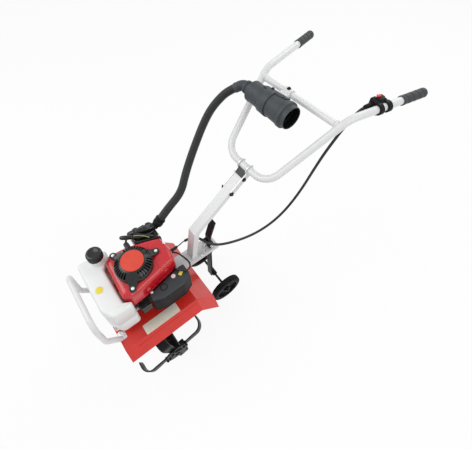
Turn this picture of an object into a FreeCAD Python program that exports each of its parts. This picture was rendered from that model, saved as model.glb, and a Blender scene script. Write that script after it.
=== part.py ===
"""Walk-behind power weeder: a small two-stroke tiller on twelve bent tines.

Machine axes: +Z up, the machine drives towards -Y, the operator stands at +Y, and
"left" and "right" are the operator's, so left is +X.  Every sub-part is drawn with
Y = 0 under the crankshaft and Z = 0 on the ground, then shifted along Y by one cell,
so that the origin lies on the ground under the middle of the whole machine.
"""
import FreeCAD
import Part
import math
import os
import Sketcher

Vector = FreeCAD.Vector
doc = FreeCAD.newDocument("power_weeder")

# ---------------------------------------------------------------- driving dimensions
DIMENSIONS = [
    # handlebar and post
    ("bar_radius", 12.5), ("bar_wall", 2.0), ("bar_bend_radius", 70.0),
    ("corner_half_width", 100.0), ("corner_back", 454.0), ("corner_height", 676.0),
    ("bend_half_width", 175.0), ("bend_back", 683.0), ("bend_height", 873.0),
    ("tip_half_width", 236.5), ("tip_back", 966.0), ("tip_height", 883.0),
    ("crossbar_radius", 11.0), ("crossbar_back", 660.0),
    ("grip_radius", 16.0), ("grip_length", 95.0), ("grip_end_wall", 4.0),
    ("post_width", 36.0), ("post_depth", 22.0), ("post_sheet", 3.0),
    ("post_foot_back", 198.0), ("post_knee_back", 220.0), ("post_knee_height", 490.0),
    ("post_end_back", 425.0), ("post_end_height", 652.0),
    # base plate and fender
    ("plate_top", 337.0), ("plate_sheet", 5.0), ("plate_lip", 13.0), ("lip_sheet", 4.0),
    ("plate_half_width", 30.0), ("plate_rear", 315.0), ("pad_half_width", 60.0),
    ("pad_front", -70.0), ("pad_rear", 75.0),
    ("fender_sheet", 2.0), ("fender_flat", 148.0), ("fender_half_width", 180.0),
    ("fender_drop", 41.0), ("fender_front", -152.0), ("fender_rear", 126.0),
    ("flap_length", 77.0), ("flap_drop", 98.0),
    # gearbox and tine rotor
    ("shaft_back", -16.0), ("shaft_height", 135.0), ("shaft_radius", 12.5), ("shaft_length", 310.0),
    ("running_gap", 0.05), ("fit_gap", 0.2), ("column_radius", 29.0), ("gear_flange_radius", 42.0),
    ("gear_case_radius", 41.0), ("gear_case_half", 34.0), ("boss_radius", 25.0),
    ("boss_half", 48.0), ("hub_gap", 6.0), ("hub_radius", 23.5), ("hub_outer_end", 212.0),
    ("flange_sheet", 6.0), ("flange_radius", 48.0), ("outer_turn", 15.0), ("inner_turn", 80.0),
    ("inner_flange_at", 112.0), ("outer_flange_at", 202.0),
    ("tine_sheet", 5.0), ("tine_width", 36.0), ("tine_reach", 133.0), ("tine_root", 25.0),
    ("tine_root_width", 24.0), ("tine_taper", 85.0), ("tine_bend", 36.0), ("tine_side", 58.0),
    # engine
    ("crank_half_width", 46.0), ("crank_front", -52.0), ("crank_rear", 58.0),
    ("crank_top", 432.0), ("barrel_half_width", 34.0), ("barrel_rear", 112.0),
    ("barrel_bottom", 372.0), ("barrel_top", 486.0), ("fan_radius", 50.0),
    ("shroud_bottom", 442.0), ("shroud_top", 508.0), ("shroud_wall", 3.0),
    ("starter_radius", 62.0), ("starter_top", 541.0), ("starter_rim", 16.0),
    ("lug_circle", 80.0), ("lug_radius", 11.0), ("badge_radius", 36.7), ("badge_rise", 3.0),
    ("grip_bar_radius", 8.0), ("grip_bar_length", 46.0),
    ("guard_inner", 60.5), ("guard_outer", 127.0), ("guard_front", -8.0),
    ("guard_rear", 140.0), ("guard_bottom", 365.0), ("guard_top", 452.0),
    ("guard_wall", 2.5), ("guard_gap", 2.0), ("guard_slant", 25.0),
    ("airbox_gap", 3.0), ("airbox_outer", -138.0), ("airbox_front", 38.0),
    ("airbox_rear", 128.0), ("airbox_bottom", 452.0), ("airbox_top", 506.0),
    # fuel tank and bumper
    ("tank_left", 104.0), ("tank_right", -126.0), ("tank_front", -151.0),
    ("tank_rear", -84.0), ("tank_left_rear", -62.0), ("tank_right_rear", -52.0),
    ("tank_chamfer", 26.0), ("tank_round", 11.0),
    ("tank_bottom", 345.0), ("tank_top", 488.0), ("neck_x", -101.0), ("neck_y", -88.0),
    ("neck_radius", 23.0), ("neck_height", 24.0), ("cap_radius", 26.0),
    ("cap_height", 28.0), ("tray_sheet", 4.0),
    ("bumper_radius", 9.0), ("bumper_half_width", 104.0), ("bumper_front", -184.0),
    ("bumper_top", 503.0), ("bumper_low", 374.0), ("bumper_foot_back", -146.0),
    ("bumper_bend", 38.0),
    # stake, axle and wheels
    ("stake_width", 28.0), ("stake_sheet", 8.0), ("stake_back", 288.0),
    ("stake_bend_height", 395.0), ("stake_top", 475.0), ("stake_top_back", 312.0),
    ("stake_gap", 0.3), ("guide_wall", 6.0), ("guide_height", 22.0),
    ("axle_radius", 5.0), ("axle_half", 118.0), ("axle_back", 301.0),
    ("axle_boss_radius", 11.0), ("pin_radius", 4.0),
    ("wheel_radius", 70.0), ("wheel_width", 26.0), ("wheel_centre", 100.0),
    ("tyre_depth", 15.0), ("rim_wall", 5.0), ("wheel_hub_radius", 14.0),
    ("wheel_web", 6.0), ("wheel_window_radius", 8.0), ("wheel_window_circle", 32.0),
    ("wheel_windows", 6),
    # pre-cleaner, hoses and controls
    ("can_radius", 42.0), ("can_small_radius", 34.0), ("can_wall", 3.0),
    ("can_mouth", 56.0), ("can_ring_radius", 44.0), ("can_ring_at", 26.0),
    ("can_ring_width", 12.0), ("spout_radius", 37.5), ("can_end", -126.0),
    ("can_depth", 120.0), ("can_back", 573.0), ("can_height", 855.0),
    ("can_neck_radius", 21.0), ("can_neck_length", 16.0), ("band_width", 34.0),
    ("band_sheet", 3.0), ("band_at", -62.0),
    ("hose_radius", 15.0), ("cable_radius", 5.0), ("wire_radius", 2.0),
    ("housing_width", 32.0), ("housing_length", 46.0), ("housing_height", 36.0),
    ("housing_from_tip", 166.0),
    # interfaces
    ("socket_radius", 11.0), ("socket_depth", 40.0), ("tail_hole_radius", 4.25),
    ("tail_hole_half", 16.0), ("tail_hole_back", 260.0),
]


def middle_of_machine():
    """How far the middle of the machine lies behind the tine shaft."""
    number = dict(DIMENSIONS)
    arm = Vector(number["tip_half_width"] - number["bend_half_width"],
                 number["tip_back"] - number["bend_back"],
                 number["tip_height"] - number["bend_height"]).normalize()
    rear = number["tip_back"] + number["grip_radius"] * math.sqrt(1 - arm.y ** 2)
    front = number["bumper_front"] - number["bumper_radius"]
    return round((front + rear) / 2, 2)


DIMENSIONS.append(("middle_back", middle_of_machine()))

sizes = doc.addObject("Spreadsheet::Sheet", "Sizes")
for row, (alias, number) in enumerate(DIMENSIONS, start=1):
    sizes.set("A%d" % row, alias.replace("_", " "))
    sizes.set("B%d" % row, str(number))
    sizes.setAlias("B%d" % row, alias)
doc.recompute()


def size(expression):
    """The number that an expression over the sheet's cells gives."""
    result = sizes.evalExpression(expression)
    return float(getattr(result, "Value", result))


def bound(expression):
    """The same expression as another object writes it, with the sheet's name in front."""
    text = expression
    for alias, _ in sorted(DIMENSIONS, key=lambda pair: -len(pair[0])):
        text = text.replace(alias, "\0%s\0" % alias[::-1])
    for alias, _ in DIMENSIONS:
        text = text.replace("\0%s\0" % alias[::-1], "Sizes." + alias)
    return text


SUBPARTS = []
OWN_BACK = {}


def keep(piece, node):
    """Name a finished sub-part and shift it so that the origin is under the middle."""
    piece.Label = node
    own = OWN_BACK.get(piece.Name, "0")
    piece.setExpression("Placement.Base.y", bound(own + " - middle_back"))
    SUBPARTS.append(piece)
    return piece


def keep_shape(node, shape):
    """A sub-part that only a free shape describes, such as a bent tube."""
    piece = doc.addObject("Part::Feature", node)
    piece.Shape = shape
    return keep(piece, node)


# ---------------------------------------------------------------- PartDesign helpers
def new_body(node):
    return doc.addObject("PartDesign::Body", node)


def new_sketch(body, name, role, offset="0"):
    """A sketch on one of the body's own origin planes, moved along the plane's normal."""
    sketch = body.newObject("Sketcher::SketchObject", name)
    plane = [item for item in body.Origin.OriginFeatures if item.Role == role][0]
    sketch.AttachmentSupport = (plane, [""])
    sketch.MapMode = "FlatFace"
    sketch.setExpression("AttachmentOffset.Base.z", bound(offset))
    return sketch


def add_outline(sketch, corners):
    """A closed outline whose corners are pairs of expressions."""
    points = [(size(x), size(y)) for x, y in corners]
    first = sketch.GeometryCount
    count = len(points)
    for index in range(count):
        start = Vector(*points[index], 0)
        end = Vector(*points[(index + 1) % count], 0)
        sketch.addGeometry(Part.LineSegment(start, end), False)
    for index in range(count):
        line, after = first + index, first + (index + 1) % count
        sketch.addConstraint(Sketcher.Constraint("Coincident", line, 2, after, 1))
    for index, (x, y) in enumerate(corners):
        for kind, text, number in (("DistanceX", x, points[index][0]),
                                   ("DistanceY", y, points[index][1])):
            datum = Sketcher.Constraint(kind, -1, 1, first + index, 1, number)
            place = sketch.addConstraint(datum)
            sketch.setExpression("Constraints[%d]" % place, bound(text))
    return sketch


def add_box(sketch, low_x, high_x, low_y, high_y):
    corners = [(low_x, low_y), (high_x, low_y), (high_x, high_y), (low_x, high_y)]
    return add_outline(sketch, corners)


def add_circle(sketch, x, y, radius):
    centre = Vector(size(x), size(y), 0)
    circle = sketch.addGeometry(Part.Circle(centre, Vector(0, 0, 1), size(radius)), False)
    for kind, text, number in (("DistanceX", x, centre.x), ("DistanceY", y, centre.y)):
        place = sketch.addConstraint(Sketcher.Constraint(kind, -1, 1, circle, 3, number))
        sketch.setExpression("Constraints[%d]" % place, bound(text))
    place = sketch.addConstraint(Sketcher.Constraint("Radius", circle, size(radius)))
    sketch.setExpression("Constraints[%d]" % place, bound(radius))
    return sketch


def feature(body, kind, name, sketch, length, reverse=False):
    """A pad or a pocket of a bound length; a pocket has to take volume away."""
    item = body.newObject("PartDesign::" + kind, name)
    item.Profile = sketch
    item.setExpression("Length", bound(length))
    item.Reversed = reverse
    before = body.Shape.Volume if kind == "Pocket" else 0.0
    doc.recompute()
    if kind == "Pocket" and body.Shape.Volume > before - 1.0:
        raise RuntimeError(name + " cuts nothing")
    return item


def pad(body, name, sketch, length, reverse=False):
    return feature(body, "Pad", name, sketch, length, reverse)


def pocket(body, name, sketch, length, reverse=False):
    return feature(body, "Pocket", name, sketch, length, reverse)


def turned(body, kind, name, sketch, axis):
    """A full revolution or groove about one of the sketch's own axes."""
    item = body.newObject("PartDesign::" + kind, name)
    item.Profile = sketch
    item.ReferenceAxis = (sketch, [axis])
    item.Angle = 360
    doc.recompute()
    return item


def turned_about_line(body, name, sketch, back):
    """A revolution about the line through the sketch that runs along X at one depth."""
    axis = sketch.addGeometry(Part.LineSegment(
        Vector(-200, size(back), 0), Vector(200, size(back), 0)), True)
    sketch.addConstraint(Sketcher.Constraint("Horizontal", axis))
    place = sketch.addConstraint(Sketcher.Constraint("DistanceY", -1, 1, axis, 1, size(back)))
    sketch.setExpression("Constraints[%d]" % place, bound(back))
    return turned(body, "Revolution", name, sketch, "Axis0")


def fillet(body, name, radius, chosen):
    """Round the edges of the body that the test picks out."""
    base = body.Tip
    names = ["Edge%d" % (place + 1) for place, edge in enumerate(base.Shape.Edges)
             if chosen(edge)]
    item = body.newObject("PartDesign::Fillet", name)
    item.Base = (base, names)
    item.setExpression("Radius", bound(radius))
    doc.recompute()
    return item


def upright(edge):
    """True for a straight edge along Z."""
    ends = [vertex.Point for vertex in edge.Vertexes]
    return len(ends) == 2 and abs(ends[0].z - ends[1].z) > 0.9 * edge.Length


def at_height(height):
    """A test for edges that lie in one level plane."""
    def lies(edge):
        box = edge.BoundBox
        return abs(box.ZMin - height) < 0.01 and abs(box.ZMax - height) < 0.01
    return lies


# ---------------------------------------------------------------- Part helpers
def block(name, low_x, high_x, low_y, high_y, low_z, high_z):
    """A box between pairs of bound faces."""
    item = doc.addObject("Part::Box", name)
    for prop, low, high in (("Length", low_x, high_x), ("Width", low_y, high_y),
                            ("Height", low_z, high_z)):
        item.setExpression(prop, bound("(%s) - (%s)" % (high, low)))
    for axis, low in (("x", low_x), ("y", low_y), ("z", low_z)):
        item.setExpression("Placement.Base." + axis, bound(low))
    OWN_BACK[item.Name] = low_y
    return item


def rod(name, radius, length, start, axis):
    """A cylinder from a bound start point along X, Y or Z."""
    item = doc.addObject("Part::Cylinder", name)
    turn = {"X": FreeCAD.Rotation(Vector(0, 1, 0), 90),
            "Y": FreeCAD.Rotation(Vector(1, 0, 0), -90),
            "Z": FreeCAD.Rotation()}[axis]
    item.Placement = FreeCAD.Placement(Vector(0, 0, 0), turn)
    item.setExpression("Radius", bound(radius))
    item.setExpression("Height", bound(length))
    for letter, text in zip("xyz", start):
        item.setExpression("Placement.Base." + letter, bound(text))
    OWN_BACK[item.Name] = start[1]
    return item


def fuse(name, *pieces):
    item = doc.addObject("Part::MultiFuse", name)
    item.Shapes = list(pieces)
    item.Refine = True
    return item


def cut(name, base, tool):
    item = doc.addObject("Part::Cut", name)
    item.Base = base
    item.Tool = tool
    item.Refine = True
    return item


# ---------------------------------------------------------------- bent tubes and cords
def route(points, radii):
    """Straight runs joined by tangent arcs; one radius for each inner point."""
    edges = []
    start = points[0]
    for place in range(1, len(points) - 1):
        corner = points[place]
        before = (points[place - 1] - corner).normalize()
        after = (points[place + 1] - corner).normalize()
        half = before.getAngle(after) / 2
        back = radii[place - 1] / math.tan(half)
        first = corner + before * back
        last = corner + after * back
        inward = (before + after).normalize()
        reach = radii[place - 1] / math.sin(half)
        middle = corner + inward * (reach - radii[place - 1])
        if (first - start).Length > 1e-6:
            edges.append(Part.LineSegment(start, first).toShape())
        edges.append(Part.Arc(first, middle, last).toShape())
        start = last
    edges.append(Part.LineSegment(start, points[-1]).toShape())
    return Part.Wire(edges)


def tube_along(path, radius):
    """A round bar swept along a path."""
    begin = path.Edges[0]
    heading = begin.tangentAt(begin.FirstParameter)
    ring = Part.Wire([Part.makeCircle(radius, begin.valueAt(begin.FirstParameter), heading)])
    swept = path.makePipeShell([ring], True, False)
    expected = math.pi * radius ** 2 * path.Length
    if abs(swept.Volume - expected) > 0.01 * expected:
        raise RuntimeError("a bent tube has the wrong volume")
    return swept


def cord(node, points, radius):
    """A free hose or cable, bent as gently as its runs allow; prints its radii."""
    runs = [(points[i + 1] - points[i]).Length for i in range(len(points) - 1)]
    radii = []
    for place in range(1, len(points) - 1):
        before = points[place] - points[place - 1]
        after = points[place + 1] - points[place]
        turn = before.getAngle(after)
        radii.append(0.45 * min(runs[place - 1], runs[place]) / math.tan(turn / 2))
    path = route(points, radii)
    print("%s length %.0f, runs %s, radii %s" % (
        node, path.Length, [round(run) for run in runs], [round(r) for r in radii]))
    return keep_shape(node, tube_along(path, radius))


# ================================================================ base and gearbox
def base_plate():
    """Engine pad in front, a channel that carries the post and the stake behind."""
    body = new_body("base_plate")
    web = new_sketch(body, "plate_outline", "XY_Plane", "plate_top - plate_sheet")
    add_outline(web, [
        ("-pad_half_width", "pad_front"), ("pad_half_width", "pad_front"),
        ("pad_half_width", "pad_rear"), ("plate_half_width", "pad_rear + 30"),
        ("plate_half_width", "plate_rear"), ("-plate_half_width", "plate_rear"),
        ("-plate_half_width", "pad_rear + 30"), ("-pad_half_width", "pad_rear")])
    pad(body, "plate_web", web, "plate_sheet")
    for side, low, high in (("left", "plate_half_width - lip_sheet", "plate_half_width"),
                            ("right", "-plate_half_width", "lip_sheet - plate_half_width")):
        lip = new_sketch(body, side + "_lip_outline", "XY_Plane", "plate_top - plate_sheet")
        add_box(lip, low, high, "pad_rear + 30", "plate_rear")
        pad(body, side + "_lip", lip, "plate_lip", True)
    slot = new_sketch(body, "stake_slot_outline", "XY_Plane", "plate_top")
    add_box(slot, "-stake_width / 2 - 1", "stake_width / 2 + 1",
            "stake_back - stake_sheet / 2 - 1", "stake_back + stake_sheet / 2 + 1")
    pocket(body, "stake_slot", slot, "plate_sheet")
    holes = new_sketch(body, "tail_holes_outline", "XY_Plane", "plate_top")
    add_circle(holes, "tail_hole_half", "tail_hole_back", "tail_hole_radius")
    add_circle(holes, "-tail_hole_half", "tail_hole_back", "tail_hole_radius")
    pocket(body, "tail_holes", holes, "plate_sheet")
    keep(body, "base_plate")


def gearbox():
    """Cast column under the clutch, with the worm case round the tine shaft."""
    body = new_body("gearbox_housing")
    case = new_sketch(body, "case_outline", "YZ_Plane", "-gear_case_half")
    add_circle(case, "shaft_back", "shaft_height", "gear_case_radius")
    pad(body, "worm_case", case, "2 * gear_case_half")
    boss = new_sketch(body, "boss_outline", "YZ_Plane", "-boss_half")
    add_circle(boss, "shaft_back", "shaft_height", "boss_radius")
    pad(body, "bearing_bosses", boss, "2 * boss_half")
    column = new_sketch(body, "column_outline", "XY_Plane", "shaft_height")
    add_circle(column, "0", "0", "column_radius")
    pad(body, "column", column, "plate_top - plate_sheet - shaft_height")
    flange = new_sketch(body, "flange_outline", "XY_Plane", "plate_top - plate_sheet - plate_lip")
    add_circle(flange, "0", "0", "gear_flange_radius")
    pad(body, "top_flange", flange, "plate_lip")
    bore = new_sketch(body, "bore_outline", "YZ_Plane", "boss_half")
    add_circle(bore, "shaft_back", "shaft_height", "shaft_radius + running_gap")
    pocket(body, "shaft_bore", bore, "2 * boss_half")
    keep(body, "gearbox_housing")


def fender():
    """Bent sheet over the tines, with a rear flap that slopes down."""
    body = new_body("fender")
    top = "(plate_top - plate_sheet - plate_lip)"
    section = [
        ("-fender_half_width", top + " - fender_drop"), ("-fender_flat", top),
        ("fender_flat", top), ("fender_half_width", top + " - fender_drop"),
        ("fender_half_width", top + " - fender_drop - fender_sheet"),
        ("fender_flat", top + " - fender_sheet"), ("-fender_flat", top + " - fender_sheet"),
        ("-fender_half_width", top + " - fender_drop - fender_sheet")]
    sheet = new_sketch(body, "sheet_outline", "XZ_Plane", "-fender_rear")
    add_outline(sheet, section)
    pad(body, "sheet", sheet, "fender_rear - fender_front")
    edge = new_sketch(body, "flap_outline", "XZ_Plane", "-fender_rear")
    add_outline(edge, section)
    flap = body.newObject("PartDesign::Pad", "rear_flap")
    flap.Profile = edge
    flap.UseCustomVector = True
    flap.Direction = Vector(0, size("flap_length"), -size("flap_drop"))
    flap.AlongSketchNormal = True
    flap.setExpression("Length", bound("flap_length"))
    doc.recompute()
    hole = new_sketch(body, "column_hole_outline", "XY_Plane", top)
    add_circle(hole, "0", "0", "column_radius")
    pocket(body, "column_hole", hole, "fender_sheet")
    keep(body, "fender")


# ================================================================ tine rotor
def tine_rotor():
    """Shaft through the gearbox, a hub on each end, four tines outside and two inside."""
    shaft = rod("shaft_bar", "shaft_radius", "shaft_length",
                ("-shaft_length / 2", "shaft_back", "shaft_height"), "X")
    keep(shaft, "tine_shaft")
    for side, sign in (("left", ""), ("right", "-")):
        tine_hub(side, sign)
        for flange, ways in (("inner", (("upper", 0), ("lower", 180))),
                             ("outer", (("rear", 0), ("upper", 90), ("front", 180),
                                        ("lower", 270)))):
            for way, angle in ways:
                node = "%s_%s_%s_tine" % (side, flange, way)
                tine(node, sign, flange, angle + size(flange + "_turn"))


def tine_hub(side, sign):
    """Tube over the shaft's end, with a round flange inside and one at the outer end."""
    body = new_body(side + "_tine_hub")
    inner = "(boss_half + hub_gap)"
    reverse = side == "right"
    tube = new_sketch(body, "tube_outline", "YZ_Plane", sign + inner)
    add_circle(tube, "shaft_back", "shaft_height", "hub_radius")
    pad(body, "tube", tube, "hub_outer_end - " + inner, reverse)
    for flange in ("inner", "outer"):
        plate = new_sketch(body, flange + "_outline", "YZ_Plane", sign + flange + "_flange_at")
        add_circle(plate, "shaft_back", "shaft_height", "flange_radius")
        pad(body, flange + "_flange", plate, "flange_sheet", reverse)
    bore = new_sketch(body, "bore_outline", "YZ_Plane", sign + inner)
    add_circle(bore, "shaft_back", "shaft_height", "shaft_radius")
    pocket(body, "shaft_bore", bore, "shaft_length / 2 - " + inner, not reverse)
    socket = new_sketch(body, "socket_outline", "YZ_Plane", sign + "hub_outer_end")
    add_circle(socket, "shaft_back", "shaft_height", "socket_radius")
    pocket(body, "disc_socket", socket, "socket_depth", reverse)
    keep(body, side + "_tine_hub")


def tine(node, sign, flange, angle):
    """Flat bar bolted on a flange's inner face and bent towards the gearbox.

    It is drawn reaching back from the shaft, then turned about the shaft.
    """
    body = new_body(node)
    face = flange + "_flange_at"
    root = sign + face
    far = "%s(%s - tine_sheet)" % (sign, face)
    tip = "%s(%s - tine_side)" % (sign, face)
    strip = new_sketch(body, "strip_outline", "XY_Plane", "-tine_width / 2")
    add_outline(strip, [
        (root, "tine_root"), (root, "tine_reach"), (tip, "tine_reach"),
        (tip, "tine_reach - tine_sheet"), (far, "tine_reach - tine_sheet"),
        (far, "tine_root")])
    pad(body, "strip", strip, "tine_width")
    for name, x, y, radius in (("outer_bend", root, "tine_reach", "tine_bend"),
                               ("inner_bend", far, "tine_reach - tine_sheet",
                                "tine_bend - tine_sheet")):
        fillet(body, name, radius, near_line(size(x), size(y)))
    taper = new_sketch(body, "taper_outline", "YZ_Plane", sign + face)
    for half in ("", "-"):
        add_outline(taper, [
            ("tine_root", half + "tine_root_width / 2"), ("tine_taper", half + "tine_width / 2"),
            ("tine_taper", half + "(tine_width / 2 + 1)"),
            ("tine_root - 1", half + "(tine_width / 2 + 1)"),
            ("tine_root - 1", half + "tine_root_width / 2")])
    pocket(body, "taper", taper, "tine_sheet", sign == "-")
    keep(body, node)
    turn = FreeCAD.Rotation(Vector(1, 0, 0), angle)
    body.Placement = FreeCAD.Placement(Vector(0, 0, size("shaft_height")), turn)
    body.setExpression("Placement.Base.y", bound("shaft_back - middle_back"))
    body.setExpression("Placement.Base.z", bound("shaft_height"))


def outside_corner(edge):
    """A test for the tank's upright edges that don't face the shroud."""
    box = edge.BoundBox
    outside = box.YMin < size("tank_rear - 1") or abs(box.XMin) > size("tank_left - 1")
    return upright(edge) and outside


def near_line(x, y):
    """A test for the upright edge that stands over one point of the plan."""
    def stands(edge):
        box = edge.BoundBox
        there = abs(box.XMin - x) < 0.01 and abs(box.XMax - x) < 0.01
        return there and abs(box.YMin - y) < 0.01 and abs(box.YMax - y) < 0.01
    return stands


# ================================================================ engine
def engine():
    """Plain engine block: crankcase, barrel to the rear and fan case on top."""
    low = block("crankcase", "-crank_half_width", "crank_half_width", "crank_front",
                "crank_rear", "plate_top", "crank_top")
    barrel = block("barrel", "-barrel_half_width", "barrel_half_width", "crank_rear - 10",
                   "barrel_rear", "barrel_bottom", "barrel_top")
    fan = rod("fan_case", "fan_radius", "shroud_top - shroud_wall - crank_top + 10",
              ("0", "0", "crank_top - 10"), "Z")
    keep(fuse("engine", low, barrel, fan), "engine_block")


SHROUD_PLAN = [("-89", "-53"), ("-66", "-75"), ("70", "-81"), ("87", "-56"), ("85", "-20"),
               ("57", "118"), ("12", "127"), ("-45", "121"), ("-64", "73"), ("-84", "9")]


def inset(corners, wall):
    """The same outline moved inwards, each side by the wall."""
    count = len(corners)
    points = [Vector(size(x), size(y), 0) for x, y in corners]
    result = []
    for place in range(count):
        here, before, after = points[place], points[place - 1], points[(place + 1) % count]
        first = (here - before).normalize()
        second = (after - here).normalize()
        normal = Vector(-first.y, first.x, 0) + Vector(-second.y, second.x, 0)
        scale = 1.0 / (1.0 + first.dot(second))
        x, y = corners[place]
        result.append(("%s + %.4f * %s" % (x, normal.x * scale, wall),
                       "%s + %.4f * %s" % (y, normal.y * scale, wall)))
    return result


def engine_shroud():
    """Moulded cover over fan and barrel: a shell that is open below."""
    body = new_body("engine_shroud")
    outer = new_sketch(body, "shroud_outline", "XY_Plane", "shroud_bottom")
    add_outline(outer, SHROUD_PLAN)
    pad(body, "cover", outer, "shroud_top - shroud_bottom")
    fillet(body, "corners", "9", upright)
    fillet(body, "top_edge", "6", at_height(size("shroud_top")))
    inner = new_sketch(body, "cavity_outline", "XY_Plane", "shroud_top - shroud_wall")
    add_outline(inner, inset(SHROUD_PLAN, "shroud_wall"))
    pocket(body, "cavity", inner, "shroud_top - shroud_wall - shroud_bottom")
    keep(body, "engine_shroud")


def recoil_starter():
    """Round black housing on three lugs, with a spout for the rope."""
    body = new_body("recoil_starter")
    rim = new_sketch(body, "rim_outline", "XY_Plane", "shroud_top")
    add_circle(rim, "0", "0", "starter_radius")
    pad(body, "rim", rim, "starter_rim")
    for name, angle in (("rear", 90), ("right", 210), ("left", 330)):
        x, y = math.cos(math.radians(angle)), math.sin(math.radians(angle))
        lug = new_sketch(body, name + "_lug_outline", "XY_Plane", "shroud_top")
        ends = [("%.4f * 50 %+.4f * lug_radius * %d" % (x, -y, s),
                 "%.4f * 50 %+.4f * lug_radius * %d" % (y, x, s)) for s in (-1, 1)]
        far = [("%.4f * lug_circle %+.4f * lug_radius * %d" % (x, -y, s),
                "%.4f * lug_circle %+.4f * lug_radius * %d" % (y, x, s)) for s in (1, -1)]
        add_outline(lug, ends + far)
        pad(body, name + "_lug", lug, "starter_rim / 2")
        end = new_sketch(body, name + "_end_outline", "XY_Plane", "shroud_top")
        add_circle(end, "%.4f * lug_circle" % x, "%.4f * lug_circle" % y, "lug_radius")
        pad(body, name + "_end", end, "starter_rim / 2")
    spout = new_sketch(body, "spout_outline", "XY_Plane", "shroud_top")
    add_box(spout, "-84", "-50", "4", "22")
    pad(body, "spout", spout, "starter_rim")
    dome = new_sketch(body, "dome_outline", "XY_Plane", "shroud_top")
    add_circle(dome, "0", "0", "starter_radius - 8")
    pad(body, "dome", dome, "starter_top - shroud_top")
    fillet(body, "dome_edge", "8", at_height(size("starter_top")))
    keep(body, "recoil_starter")
    badge = rod("badge", "badge_radius", "badge_rise", ("0", "0", "starter_top"), "Z")
    keep(badge, "starter_badge")


def starter_handle():
    """T-grip at the end of the starter rope, parked against the spout."""
    middle = Vector(-102, 26, size("shroud_top + starter_rim / 2"))
    along = Vector(-0.53, -0.85, 0).normalize()
    radius = size("grip_bar_radius")
    half = along * (size("grip_bar_length") / 2)
    bar = tube_along(Part.Wire([Part.LineSegment(middle - half, middle + half).toShape()]),
                     radius)
    spout_mouth = Vector(-84, 13, middle.z)
    stem = Part.makeCylinder(4, (middle - spout_mouth).Length, spout_mouth,
                             middle - spout_mouth)
    mouth = Part.makeBox(34, 18, 16, Vector(-84, 4, middle.z - 8))
    keep_shape("starter_handle", bar.fuse(stem).cut(mouth).removeSplitter())


def muffler():
    """Exhaust box on the left of the barrel; the heat guard over it is open below."""
    gas = block("gas_box", "barrel_half_width", "guard_outer - 22", "crank_rear + 2",
                "guard_rear - 26", "guard_bottom + 20", "shroud_bottom - guard_gap")
    seat = block("guard_seat", "guard_outer - 55", "guard_outer - 25", "crank_rear + 18",
                 "guard_rear - 30", "shroud_bottom - guard_gap - 4", "guard_top - guard_wall")
    keep(fuse("seated_gas_box", gas, seat), "muffler")
    body = new_body("muffler_guard")
    outer = new_sketch(body, "guard_outline", "XY_Plane", "guard_bottom")
    plan = [("guard_inner + guard_slant", "guard_front"), ("guard_outer - 15", "guard_front - 2"),
            ("guard_outer", "guard_front + 32"), ("guard_outer", "guard_rear - 36"),
            ("guard_outer - 17", "guard_rear"), ("guard_inner", "guard_rear"),
            ("guard_inner", "guard_rear - 22")]
    add_outline(outer, plan)
    pad(body, "guard", outer, "guard_top - guard_bottom")
    fillet(body, "corners", "8", upright)
    inner = new_sketch(body, "hollow_outline", "XY_Plane", "guard_top - guard_wall")
    shell = inset(plan, "guard_wall")
    share = "guard_wall / (guard_rear - 22 - guard_front)"
    shell[0] = ("guard_inner + guard_slant * (1 - %s)" % share, "guard_front + guard_wall")
    shell[-2:] = [("guard_inner", shell[-2][1]), plan[-1]]
    add_outline(inner, shell)
    pocket(body, "hollow", inner, "guard_top - guard_wall - guard_bottom")
    keep(body, "muffler_guard")


def air_intake():
    """Carburettor beside the barrel and the air box that the hose feeds."""
    bowl = block("carburettor_bowl", "airbox_outer + 26", "-barrel_half_width",
                 "crank_rear + 8", "barrel_rear - 8", "barrel_bottom + 24", "shroud_bottom - 2")
    throat = block("carburettor_throat", "airbox_outer + 26", "airbox_outer + 40",
                   "crank_rear + 8", "barrel_rear - 8", "shroud_bottom - 2", "airbox_bottom")
    keep(fuse("carburettor_body", bowl, throat), "carburettor")
    body = new_body("air_box")
    outline = new_sketch(body, "air_box_outline", "XY_Plane", "airbox_bottom")
    front, middle, rear = SHROUD_PLAN[9], SHROUD_PLAN[8], SHROUD_PLAN[7]
    add_outline(outline, [
        ("airbox_outer", "airbox_front + 20"), ("airbox_outer + 14", "airbox_front"),
        (front[0] + " + 9 - airbox_gap", "airbox_front"),
        (middle[0] + " - airbox_gap", middle[1]), (rear[0] + " - airbox_gap", "airbox_rear"),
        ("airbox_outer + 6", "airbox_rear"), ("airbox_outer", "airbox_rear - 10")])
    pad(body, "air_box_body", outline, "airbox_top - airbox_bottom")
    fillet(body, "corners", "6", upright)
    fillet(body, "top_edge", "5", at_height(size("airbox_top")))
    keep(body, "air_box")


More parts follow.
